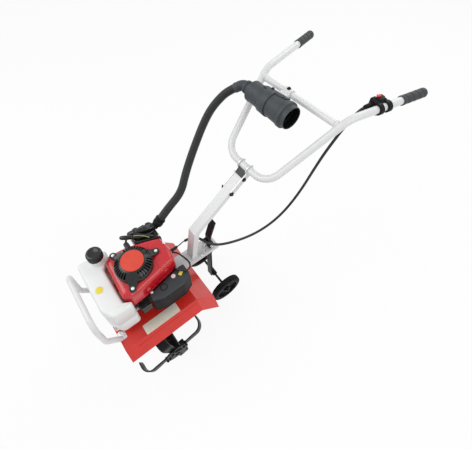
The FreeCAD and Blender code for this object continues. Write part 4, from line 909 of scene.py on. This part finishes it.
class WEEDER_OT_engine(bpy.types.Operator):
    """Finned engine block with its plug lead, the red cover with screws, the cable boot"""
    bl_idname = "weeder.engine"
    bl_label = "Engine"

    def execute(self, context):
        paint = finishes(context.scene.weeder_colours)
        block = [slab((-46, -52, 337), (46, 58, 432), 9, 3),
                 slab((-30, 40, 380), (30, 106, 484), 8, 3)]
        block += [slab((-34, 52, z), (34, 112, z + 2.4), 12, 0.8) for z in range(376, 484, 8)]
        block.append(revolve([(432, 49), (436, 50), (500, 50), (505, 46), (505, 0.01)],
                             (0, 0, 0), UP, 64))
        block += [slab((-50, -48 + 18 * k, 341), (50, -42 + 18 * k, 420), 2, 1)
                  for k in range(6)]
        # finned corner between the tank and the guard
        side = [slab((54 + 6.6 * k, -56 + 1.5 * k, 376), (57 + 6.6 * k, -12, 432 - 2 * k), 1.4, 1)
                for k in range(8)]
        side.append(slab((44, -50, 372), (100, -18, 414), 8, 2))
        side.append(disc(404, 434, 12, (4, 3), (70, -34, 0), UP))
        side += [slab((46, -20 + 12 * k, 372), (59, -14 + 12 * k, 430), 2, 1) for k in range(7)]
        bolts = screw((87, 4, 452), UP, 3.6, 2.6, 5) + screw((70, -34, 434), UP, 3.2, 2.4, 5)
        lead = eased([(-12, 124, 432), (8, 146, 440), (30, 152, 444), (52, 156, 450),
                      (76, 158, 456), (92, 150, 458), (97, 134, 458), (82, 116, 458),
                      (58, 104, 456)])
        side.append(tube(lead, 3.0, 14))
        build("finned_block",
              [(paint["cast"], block), (paint["gloss_black"], side), (paint["zinc"], bolts)],
              ["engine_block"])

        levels = [(442, 3.2), (442, 0.3), (442.6, 0), (449, 0), (450, 0.8), (470, 1.3),
                  (490, 2.0), (496, 3.2), (501, 5.4), (505, 9.0), (507.2, 13.5), (508, 19.0),
                  (508, 24)]
        cover = [prism(outline(SHROUD_PLAN, 11.0, 7), levels)]
        # a raised pad at the near rear and two ribs beside it
        cover.append(prism(outline([(34, 62), (60, 58), (52, 92), (26, 98)], 5, 5),
                           [(504, 0), (508.4, 0.4), (509.6, 1.4), (509.8, 4)]))
        for x in (-24, -34):
            cover.append(tube(np.linspace([x, 62, 507.6], [x + 4, 104, 506.8], 12), 0, 12, UP,
                              (0.9, 2.0)))
        silver = screw((-16, 118, 503.0), UP, 4.4, 3, 6.2)
        dull = each(screw, [(x, y, 501.5) for x, y in
                            ((51, 100), (64, 62), (74, 10), (77, -34))], UP, 3.4, 2.4, 4.6)
        # five cooling slots as near-black flat bars on the cover's side: painted shade, not
        # openings
        slots = [tube(np.linspace([-86.2 + 0.9 * k, -42 + 11 * k, 458],
                                  [-85.4 + 0.9 * k, -42 + 11 * k, 482], 8), 0, 12,
                      X_AXIS, (1.2, 3.0)) for k in range(5)]
        build("engine_cover",
              [(paint["cover"], cover), (paint["zinc"], silver), (paint["badge"], dull),
               (paint["hollow"], slots)], ["engine_shroud"], 32)
        reach = np.linalg.norm(BOOT_REACH)
        folds = [(0, 9.4)] + [(a, 9.2 - a * 0.082 + 0.6 * math.cos(a * 1.4))
                              for a in np.linspace(1, reach - 1, 40)] + [(reach, 4.6)]
        build("rubber_boot",
              [(paint["hose"], [revolve(folds, BOOT_ROOT, BOOT_REACH, 28)])], ["cable_boot"])
        return {"FINISHED"}


class WEEDER_OT_starter(bpy.types.Operator):
    """Recoil starter with cooling ribs, three lugs, badge, rope spout and pull handle"""
    bl_idname = "weeder.starter"
    bl_label = "Recoil starter"

    def execute(self, context):
        paint = finishes(context.scene.weeder_colours)
        count = context.scene.weeder_sizes.starter_ribs
        lugs = np.radians([90.0, 210.0, 330.0])
        # height = dome - gaps; a gap lies where the cosine of count * turn is low, off the lugs
        turn = np.linspace(0, 2 * np.pi, count * 10, endpoint=False)
        radius = np.concatenate([[STARTER_RADIUS, STARTER_RADIUS, 61.4, 60.2],
                                 np.linspace(59.4, 42, 14),
                                 [40.5, 39.0, 37.6]])
        height = np.interp(radius, [37.6, 39, 40.5, 46, 54, 59.4, 61.4, STARTER_RADIUS],
                           [541, 540.8, 540, 537.4, 531.6, 525.4, 521, 516.0])
        height[0] = 508.0
        away = np.min(np.abs((turn[:, None] - lugs + np.pi) % (2 * np.pi) - np.pi), axis=1)
        open_part = np.clip((away - 0.34) / 0.05, 0, 1)
        band = np.interp(radius, [42, 43.5, 58.6, 59.4], [0, 1, 1, 0])
        rib = np.clip(0.5 + 1.8 * np.cos(count * turn), 0, 1)
        cut = 12.0 * band[:, None] * open_part * (1 - rib)
        grid = np.stack([radius[:, None] * np.cos(turn), radius[:, None] * np.sin(turn),
                         height[:, None] - cut], -1)
        body = [rings(grid)]
        for angle in lugs:
            ahead = np.array([math.cos(angle), math.sin(angle), 0])
            across = np.array([-ahead[1], ahead[0], 0])
            share = np.linspace(0, 1, 26)[:, None]
            path = ahead * (36 + 44 * share) + UP * np.interp(share, [0, 0.45, 0.75, 1],
                                                              [539, 529, 517.6, 513.6])
            half = np.interp(share[:, 0], [0, 0.5, 0.8, 1], [13.0, 16.0, 12.0, 10.6])
            thick = np.interp(share[:, 0], [0, 0.6, 1], [3.2, 3.0, 3.0])
            body.append(tube(path - UP * 3, 0, 28, across, (half, thick)))
            body.append(disc(508, LUG_TOP, 11, (0.9, 0.8), ahead * LUG_CIRCLE, UP, 36))
        body.append(slab((-84, 4, 508), (-48, 22, 524), 7, 4))
        body.append(revolve([(52, 9), (79, 8), (83.6, 7.6), (83.6, 4)], (0, 13, 516), -X_AXIS,
                            28))
        spots = [np.array([math.cos(a), math.sin(a), 0]) * LUG_CIRCLE + UP * LUG_TOP
                 for a in lugs]
        heads = each(screw, spots, UP, 4.5, 3.0, 5.6)
        build("starter_housing",
              [(paint["gloss_black"], body), (paint["zinc"], heads)], ["recoil_starter"], 40)
        badge = [revolve([(541, 36.7), (543.2, 36.7), (544, 35.7), (544, 34.4), (543.4, 33.8),
                          (543.6, 20), (543.7, 0.01)], (0, 0, 0), UP, 96)]
        build("starter_cap", [(paint["badge"], badge)],
              ["starter_badge"])
        middle = np.array([-102.0, 26.0, 516.0])
        along = unit(np.array([-0.53, -0.85, 0]))
        share = np.linspace(-1, 1, 44)
        path = middle + share[:, None] * along * 23 - X_AXIS * (share[:, None] ** 2) * 1.6
        swell = 7.8 * (1 - 0.30 * np.abs(share) ** 3) * np.sqrt(
            np.clip(1 - np.abs(share) ** 12, 0.02, 1))
        rope = np.linspace([-83, 13.5, 516], [-99, 24.5, 516], 30)
        handle = [tube(path, swell, 28),
                  tube(rope, 3.4 + 0.35 * np.cos(np.arange(30) * 2.1), 16)]
        build("pull_handle", [(paint["gloss_black"], handle)],
              ["starter_handle"], 50)
        return {"FINISHED"}


class WEEDER_OT_exhaust(bpy.types.Operator):
    """Muffler under its heat guard, with a pressed ring and two blank stickers"""
    bl_idname = "weeder.exhaust"
    bl_label = "Exhaust"

    def execute(self, context):
        paint = finishes(context.scene.weeder_colours)
        plan = outline(GUARD_PLAN, (8, 9, 14, 16, 12, 6, 6), 8)
        shell = prism(plan, [(365, 2.6), (365, 0.2), (366, 0), (371, 0), (372, 0.9), (442, 0.9),
                             (446, 1.6), (449.4, 3.2), (451.4, 5.8), (452, 9.0), (452, 15)])
        # wall in black and top in lighter grey: painted shade on the sides and painted light on the
        # top of one guard
        wall, top = split(shell, 56, 6)
        # the pressed ring in near-black: painted shade of its groove
        ring = [revolve([(451.0, 9.6), (452.6, 9.8), (452.6, 12.0), (451.0, 12.2)],
                        (95, 44, 0), UP, 56, loop=True)]
        build("heat_guard",
              [(paint["satin_black"], [wall]), (paint["guard"], [top]), (paint["hollow"], ring)],
              ["muffler_guard"], 38)
        sticker = [disc(451.6, 452.6, 7.4, (0.1, 0.4), (82, 88, 0), UP, 40)]
        build("round_sticker", [(paint["pink"], sticker)])
        label = [bar_box(np.array([88.0, 113.0, 452.0]), (unit([0.55, -0.83, 0]),
                                                          unit([0.83, 0.55, 0]), UP),
                         (15, 11, 1.2), 1.5, 0.2)]
        build("square_sticker", [(paint["yellow"], label)])
        box = [slab((34, 60, 385), (105, 114, 440), 9, 6),
               slab((46, 58, 410), (104, 115.6, 413), 9, 1.4),
               slab((72, 76, 436), (102, 110, 449.5), 5, 2),
               slab((74, 4, 344), (112, 66, 382), 9, 5), slab((70, 0, 361), (116, 70, 364), 9, 1.4)]
        box.append(revolve([(0, 9), (16, 9), (16, 7), (4, 7), (4, 0.01)], (96, 60, 372),
                           (0.3, 0.7, -0.6), 28))
        build("muffler_box", [(paint["dark_bolt"], box)], ["muffler"])
        return {"FINISHED"}


class WEEDER_OT_intake(bpy.types.Operator):
    """Carburettor, air box with choke lever and cap, hose collar"""
    bl_idname = "weeder.intake"
    bl_label = "Air intake"

    def execute(self, context):
        paint = finishes(context.scene.weeder_colours)
        bowl = [slab((-112, 66, 396), (-60, 104, 438), 6, 4),
                slab((-62, 70, 404), (-34, 100, 436), 4, 2),
                slab((-112, 66, 436), (-98, 104, 453), 4, 1),
                disc(0, 20, 12, (2, 2), (-86, 85, 398), -UP)]
        bolts = screw((-86, 66, 420), -Y_AXIS, 4, 3) + hex_bolt((-104, 104, 424), Y_AXIS, 7, 4, 5)
        build("carburettor_body",
              [(paint["cast"], bowl), (paint["zinc"], bolts)], ["carburettor"])
        plan = outline(AIR_BOX_PLAN, 6.0, 6)
        case = [prism(plan, [(452, 2.0), (453, 0), (466, 0), (467, 1.0), (469, 1.0), (470, 0),
                             (478, 0.6), (484, 2.2), (487, 5.0), (488, 8.0)])]
        # an elbow over the top from the collar, with the choke lever along its side
        case.append(tube(eased([(-103, 132, 492), (-104, 112, 493), (-109, 90, 494),
                                (-116, 68, 493), (-124, 50, 488), (-127, 42, 482)]), 11.6, 28))
        for y in (122, 96, 60):
            case.append(revolve([(-2.5, 11.4), (-2, 12.8), (2, 12.8), (2.5, 11.4)],
                                (-104.5 - (122 - y) * 0.27, y, 493), (0.22, 1, 0), 32))
        case.append(tube(eased([(-86, 118, 490), (-80, 92, 497), (-84, 66, 499),
                                (-96, 50, 498), (-104, 44, 490)]), 3.6, 16))
        case.append(tube(eased([(-70, 116, 488), (-72, 96, 496), (-92, 70, 504),
                                (-112, 54, 504)]), 0, 16, UP, (1.8, 4.6)))
        case.append(disc(0, 8, 13, (2, 2), (-130, 66, 480), -X_AXIS))
        plug = [revolve([(0, 7.5), (4, 7.5), (6, 5.5), (6.4, 0.01)], (-104, 108, 499), UP, 28)]
        wire = [tube(eased([(-106, 50, 498), (-100, 52, 505), (-92, 62, 506), (-84, 72, 506),
                            (-74, 82, 506), (-64, 90, 503)]), 1.5, 10)]
        knobs = screw((-131, 104, 487), UP, 3.2, 2) + screw((-62, 121, 486), UP, 3.2, 2, 5)
        build("air_case",
              [(paint["gloss_black"], case), (paint["grey"], plug), (paint["zinc"], knobs),
               (paint["earth"], wire)], ["air_box"], 38)
        lift = unit(np.cross(X_AXIS, COLLAR_AHEAD))
        collar = [revolve([(-30, 15), (-26, 17.4), (-20, 18.4), (-14, 18.4), (-12, 17.0),
                           (-10, 17.0), (-8, 18.6), (-1, 18.6), (0, 17.6), (0, 12.0)],
                          COLLAR_START, COLLAR_AHEAD, 44),
                  tube(np.linspace(COLLAR_ROOT, COLLAR_START - COLLAR_AHEAD * 8, 30),
                       np.full(30, 13.6), 36)]
        collar += screw(COLLAR_START - COLLAR_AHEAD * 16 + lift * 17.6, lift, 3.4, 2.6)
        build("collar", [(paint["satin_black"], collar)],
              ["hose_collar"])
        return {"FINISHED"}


class WEEDER_OT_tank(bpy.types.Operator):
    """Blow-moulded fuel tank with its parting seam, fluted cap, tray and bumper"""
    bl_idname = "weeder.tank"
    bl_label = "Fuel tank"

    def execute(self, context):
        paint = finishes(context.scene.weeder_colours)
        flutes = context.scene.weeder_sizes.cap_knurls
        main = prism(outline(TANK_PLAN, (11, 20, 20, 11, 2, 4, 4, 3, 11), 8),
                     [(345, 7), (347, 3.5), (351, 1), (356, 0), (412, 0), (413.6, 0.9),
                      (415.2, 0), (480, 0), (483.6, 1), (486.2, 3.4), (487.6, 6.2), (488, 9.2)])
        filler = np.array([-101.0, -86.0, 0.0])
        neck = revolve([(480, 24.4), (489, 23.4), (494, 22.6), (512, 22.4)], filler, UP, 48)
        build("tank_shell", [(paint["tank"], [main, neck])],
              ["fuel_tank"], 60)

        def knurl(a, t):
            """A flute where the cosine of flutes * turn is high, on the wall only."""
            return -0.9 * np.clip(np.cos(flutes * t) * 2, -1, 1) * ((a > 513.5) & (a < 535))
        cap = [revolve([(512, 24.6), (513, 25.9), (514, 25.2), (534, 25.2), (537.4, 23.6),
                        (539.2, 20.8), (540, 17.0), (539.4, 15.4), (539.4, 0.01)], filler, UP,
                       flutes * 8, None, knurl)]
        build("tank_cap", [(paint["gloss_black"], cap)],
              ["fuel_cap"], 40)
        sticker = [disc(487.4, 488.6, 12, (0.2, 0.6), (-2.4, -124.7, 0), UP, 40)]
        build("tank_sticker", [(paint["yellow"], sticker)])
        tray = [slab((-84, -147, 341), (84, -90, 345), 6, 1),
                slab((-40, -94, 319), (40, -90, 345), 1, 0.6),
                slab((-40, -94, 319), (40, -70, 332), 3, 1),
                slab((-84, -147, 341), (84, -144.6, 351), 1, 0.6)]
        build("tray", [(paint["silver"], tray)], ["tank_tray"])
        path = bent([(-104, -146, 319), (-104, -184, 374), (-104, -184, 503), (104, -184, 503),
                     (104, -184, 374), (104, -146, 319)], 36.0)
        build("bumper_tube", [(paint["tube"], self.hoop(path))],
              ["front_bumper"], 50)
        feet = [slab((s * 96 - 16, -151, 317.5), (s * 96 + 16, -126, 321.5), 6, 1)
                for s in (-1, 1)]
        bolts = each(hex_bolt, [(-86, -138, 321), (86, -138, 321)], UP, 9, 4.5, 7)
        build("bumper_feet",
              [(paint["silver"], feet), (paint["zinc"], bolts)])
        return {"FINISHED"}

    @staticmethod
    def hoop(path):
        """A round tube on a path in one tilted plane after another: rings across the path,
        their first direction carried along it so that they never twist."""
        ahead = unit(np.gradient(path, axis=0))
        side = np.empty_like(path)
        side[0] = unit(np.cross(ahead[0], X_AXIS))
        for here in range(1, len(path)):
            carried = side[here - 1]
            side[here] = unit(carried - ahead[here] * (carried @ ahead[here]))
        cross = np.cross(ahead, side)
        turn = np.linspace(0, 2 * np.pi, 32, endpoint=False)
        grid = path[:, None] + BUMPER_RADIUS * (np.cos(turn)[None, :, None] * side[:, None]
                                                + np.sin(turn)[None, :, None] * cross[:, None])
        return [rings(grid)]


class WEEDER_OT_frame(bpy.types.Operator):
    """Post, cheek plates, clamp, base plate and their bolts, gearbox and fender"""
    bl_idname = "weeder.frame"
    bl_label = "Frame"

    def execute(self, context):
        paint = finishes(context.scene.weeder_colours)
        dress("handle_post", paint["tube"])
        for side in ("left", "right"):
            dress(side + "_cheek_plate", paint["silver"])
        dress("clamp_block", paint["grey"])
        dress("base_plate", paint["silver"])
        bolts = []
        for sign in (1, -1):
            bolts += each(hex_bolt, [(sign * 22.0, 431, 644), (sign * 22.0, 379, 605)],
                          X_AXIS * sign, 10, 5, 8.5)
        build("post_bolts", [(paint["dark_bolt"], bolts)])
        bolts = each(hex_bolt, [(x, y, 337.6) for x, y in
                                ((52, -60), (-52, -60), (50, 65), (-50, 65), (22, 238),
                                 (-22, 238))], UP, 10, 5, 7.5)
        bead = tube(bent([(-19, 197, 338), (19, 197, 338), (19, 220, 338)], 2, 2), 1.8, 10)
        build("plate_bolts",
              [(paint["zinc"], bolts), (paint["tube"], [bead])])

        column = [revolve([(332, 42), (322, 42), (320, 40), (320, 30), (300, 29), (190, 29),
                           (184, 33), (150, 36)], (0, 0, 0), UP, 56),
                  revolve([(-34, 30), (-34, 39), (-31, 41), (-3, 41), (-3, 43), (3, 43), (3, 41),
                           (31, 41), (34, 39), (34, 30)], SHAFT, X_AXIS, 64),
                  revolve([(-48, 14), (-48, 24), (-46, 25), (46, 25), (48, 24), (48, 14)],
                          SHAFT, X_AXIS, 48)]
        heads = []
        for angle in np.radians(np.arange(30, 390, 60)):
            way = spoke(angle)
            for sign in (1, -1):
                heads += hex_bolt(SHAFT + way * 34.5 + X_AXIS * sign * 34, X_AXIS * sign, 7, 4,
                                  5.5)
        build("gearbox",
              [(paint["paint_black"], column), (paint["zinc"], heads)], ["gearbox_housing"])

        # height = flat top, less a slope past the fold at each side, less the flap's slope
        wide, flat = FENDER_HALF_WIDTH, FENDER_FLAT
        across = np.concatenate([np.linspace(-wide, -flat - 2, 9), np.linspace(-flat, flat, 60),
                                 np.linspace(flat + 2, wide, 9)])
        along = np.concatenate([np.linspace(FENDER_FRONT, FLAP_FOLD - 2, 70),
                                np.linspace(FLAP_FOLD, FENDER_BACK, 24)])
        x, y = np.meshgrid(across, along, indexing="ij")
        z = (FENDER_TOP - SIDE_DROP * np.clip((np.abs(x) - flat) / (wide - flat), 0, 1)
             - FLAP_DROP * np.clip((y - FLAP_FOLD) / (FENDER_BACK - FLAP_FOLD), 0, 1))
        sheet = [sheet_solid(np.stack([x, y, z], -1), FENDER_SHEET)]
        for sign in (1, -1):
            line = np.stack([np.full(60, sign * 158.5), np.linspace(-112, 118, 60),
                             np.full(60, 305.6)], 1)
            sheet.append(tube(line, 0, 14, unit([1.0, 0, -1.28 * sign]), (3.4, 1.5)))
        screws = each(screw, [(x, y, FENDER_TOP) for x in (-70, 70) for y in (-110, 100)],
                      UP, 4.5, 2.6, 8)
        build("fender_sheet",
              [(paint["fender"], sheet), (paint["zinc"], screws)], ["fender"], 45)
        plate = [bar_box(np.array([129.0, -6.0, 319.5]), (X_AXIS, Y_AXIS, UP), (36, 131, 1.0),
                         2.5, 0.3)]
        build("label_plate", [(paint["cream"], plate)])
        return {"FINISHED"}


class WEEDER_OT_rotor(bpy.types.Operator):
    """Tine shaft, two hubs with their flanges and bolts, and twelve bent tines"""
    bl_idname = "weeder.rotor"
    bl_label = "Tine rotor"

    def execute(self, context):
        paint = finishes(context.scene.weeder_colours)
        dress("tine_shaft", paint["steel"])
        tines = [("outer_" + way, OUTER_FACE, turn) for way, turn in
                 (("rear", 15), ("upper", 105), ("front", 195), ("lower", 285))]
        tines += [("inner_upper", INNER_FACE, 80), ("inner_lower", INNER_FACE, 260)]
        for side, sign in SIDES:
            profile = [(54, 12.6), (54, 22.8), (55, 23.5)]
            for face in (INNER_FACE, OUTER_FACE):
                back = face + FLANGE
                profile += [(face - 1, 23.5), (face, 24.4), (face, 47.2), (face + 0.8, 48),
                            (back - 0.8, 48), (back, 47.2), (back, 24.4), (back + 1, 23.5)]
            profile += [(211, 23.5), (212, 22.6), (212, 11.6), (211.4, 11), (172.4, 11),
                        (172, 0.01)]
            hub = [revolve(profile, SHAFT, X_AXIS * sign, 64)]
            pins = []
            for name, face, turn in tines:
                way = spoke(math.radians(turn))
                for reach in (32.0, 43.5):
                    spot = SHAFT + way * reach + X_AXIS * sign * face
                    pins += hex_bolt(spot + X_AXIS * sign * FLANGE, X_AXIS * sign, 8, 4.2, 5.4)
                    pins += hex_bolt(spot - X_AXIS * sign * 5, -X_AXIS * sign, 8, 4.2, 5.4)
                path = self.blade(sign, way, face)
                out = (path - SHAFT) @ way
                half = np.interp(out, [25, 85], [12, 18])
                half[-3:] = (17.8, 17.2, 16.0)
                thick = np.full(len(path), 2.5)
                thick[-6:] = np.linspace(2.4, 1.0, 6)
                blade = tube(path, 0, 24, np.cross(way, X_AXIS * sign), (half, thick))
                build("%s_%s_blade" % (side, name),
                      [(paint["paint_black"], [blade])], ["%s_%s_tine" % (side, name)], 50,
                      "tine_rotor")
            pins += hex_bolt(SHAFT + np.array([sign * 160.0, 0, 23.0]), UP, 8, 4, 5.5)
            build(side + "_hub_tube",
                  [(paint["paint_black"], hub), (paint["dark_bolt"], pins)],
                  [side + "_tine_hub"], body="tine_rotor")
        return {"FINISHED"}

    @staticmethod
    def blade(sign, way, face):
        """Straight out along the flange's inner face, a quarter circle, then inwards."""
        turn = np.linspace(0, np.pi / 2, 24)
        out = np.concatenate([np.linspace(25, 94, 22), 97 + 33.5 * np.sin(turn),
                              np.full(12, 130.5)])
        over = np.concatenate([np.full(22, 2.5), 36 - 33.5 * np.cos(turn),
                               np.linspace(38, 57.9, 12)])
        return SHAFT + out[:, None] * way + (sign * (face - over))[:, None] * X_AXIS


class WEEDER_OT_stake(bpy.types.Operator):
    """Drag stake in its guide with the lock pin, axle and the two wheels"""
    bl_idname = "weeder.stake"
    bl_label = "Stake and wheels"

    def execute(self, context):
        paint = finishes(context.scene.weeder_colours)
        dress("stake_guide", paint["paint_black"])
        dress("wheel_axle", paint["paint_black"])
        dress("drag_stake", paint["satin_black"])
        # dark rods through the stake's holes: painted shade filling each hole
        holes = [revolve([(-4.1, 3.4), (4.1, 3.4)], (0, 288, z), Y_AXIS, 20)
                 for z in (150, 180, 210, 240, 270, 300, 375)]
        build("stake_hole_shade", [(paint["hollow"], holes)], body="stake")
        loop = bent([(0, 263, 351), (0, 258, 362), (10, 256, 372), (22, 258, 364),
                     (20, 262, 350), (6, 263, 347)], 4.5, 1)
        pin = [revolve([(-0.5, 3.9), (18, 3.9), (19.8, 2.6)], (0, 264, 348), Y_AXIS, 24),
               tube(loop, 1.5, 12)]
        build("lock_pin", [(paint["steel"], pin)], ["stake_lock_pin"])
        collar = hex_bolt((20.4, 288, 348), X_AXIS, 9, 5, 7)
        collar += hex_bolt((-20.4, 288, 348), -X_AXIS, 9, 5, 7)
        build("guide_bolts", [(paint["zinc"], collar)])
        blocks = context.scene.weeder_sizes.tread_blocks
        for side, sign in SIDES:
            axis = X_AXIS * sign
            centre = AXLE + axis * WHEEL_MIDDLE
            shape = [(-12.4, 55.2), (-13, 57), (-13, 64), (-12.2, 67), (-9.8, 69.2), (-6.4, 70),
                     (-5.8, 68.8), (-5.2, 70), (5.2, 70), (5.8, 68.8), (6.4, 70), (9.8, 69.2),
                     (12.2, 67), (13, 64), (13, 57), (12.4, 55.2)]

            def tread(a, t):
                """Radius less a groove where cos(blocks * turn) is near -1, outside the middle."""
                groove = np.clip((-np.cos(blocks * t) - 0.55) / 0.3, 0, 1)
                band = (np.abs(a) > 5.5) & (np.abs(a) < 12.6)
                return -1.5 * groove * band
            tyre = [revolve(shape, centre, axis, blocks * 10, None, tread, True)]
            wheel = side + "_wheel"
            build(wheel + "_tyre", [(paint["tyre"], tyre)], [side + "_tyre"], 40,
                  wheel)
            build(wheel + "_body",
                  [(paint["satin_black"], self.rim(centre, axis))], [wheel + "_rim"],
                  body=wheel)
            end = AXLE + axis * AXLE_END
            nut = [revolve([(-4.6, 8), (-3.2, 8.2), (-3, 5)], end, axis, 28),
                   tube(np.stack([end + np.array([-sign * 1.8, dy, dz]) for dy, dz in
                                  ((-1, -9), (0, 0), (1, 9))]), 1.2, 10, X_AXIS)]
            build(side + "_axle_washer", [(paint["dark_bolt"], nut)], body="stake")
        return {"FINISHED"}

    @staticmethod
    def rim(centre, axis):
        """Barrel, hub and six flat spokes that widen at both ends and leave six windows."""
        parts = [revolve([(-12.6, 50.2), (-13, 51.2), (-13, 54.6), (-12, 55), (12, 55),
                          (13, 54.6), (13, 51.2), (12.6, 50.2)], centre, axis, 72, loop=True),
                 revolve([(-13, 5.4), (-13, 12.4), (-11.8, 13.8), (11.8, 13.8), (13, 12.4),
                          (13, 5.4)], centre, axis, 40, loop=True)]
        for angle in np.radians(np.arange(0, 360, 60)):
            way = spoke(angle)
            out = np.linspace(10, 52.4, 22)
            half = np.interp(out, [10, 16, 24, 32, 40, 46, 52.4],
                             [8.5, 9.0, 7.8, 8.2, 11.5, 17.0, 26.0])
            parts.append(tube(centre + out[:, None] * way, 0, 24, np.cross(way, axis),
                              (half, np.full(22, 3.0))))
        return parts


OPERATORS = (WEEDER_OT_stage, WEEDER_OT_cords, WEEDER_OT_handlebar, WEEDER_OT_throttle,
             WEEDER_OT_precleaner, WEEDER_OT_engine, WEEDER_OT_starter, WEEDER_OT_exhaust,
             WEEDER_OT_intake, WEEDER_OT_tank, WEEDER_OT_frame, WEEDER_OT_rotor,
             WEEDER_OT_stake)


class WEEDER_PT_panel(bpy.types.Panel):
    """Lists the sizes, the colours and the operators"""
    bl_label = "Power weeder"
    bl_idname = "WEEDER_PT_panel"
    bl_space_type = "VIEW_3D"
    bl_region_type = "UI"
    bl_category = "Weeder"

    def draw(self, context):
        for group in (context.scene.weeder_sizes, context.scene.weeder_colours):
            for name in group.__annotations__:
                self.layout.prop(group, name)
        for operator in OPERATORS:
            self.layout.operator(operator.bl_idname)


CLASSES = (WeederSizes, WeederColours, *OPERATORS, WEEDER_PT_panel)


def register():
    for item in CLASSES:
        bpy.utils.register_class(item)
    bpy.types.Scene.weeder_sizes = PointerProperty(type=WeederSizes)
    bpy.types.Scene.weeder_colours = PointerProperty(type=WeederColours)


def unregister():
    del bpy.types.Scene.weeder_sizes
    del bpy.types.Scene.weeder_colours
    for item in reversed(CLASSES):
        bpy.utils.unregister_class(item)


def main():
    """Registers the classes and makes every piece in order."""
    register()
    for operator in OPERATORS:
        group, name = operator.bl_idname.split(".")
        if getattr(getattr(bpy.ops, group), name)() != {"FINISHED"}:
            raise RuntimeError(operator.bl_idname + " did not finish")
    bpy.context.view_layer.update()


if __name__ == "__main__":
    main()
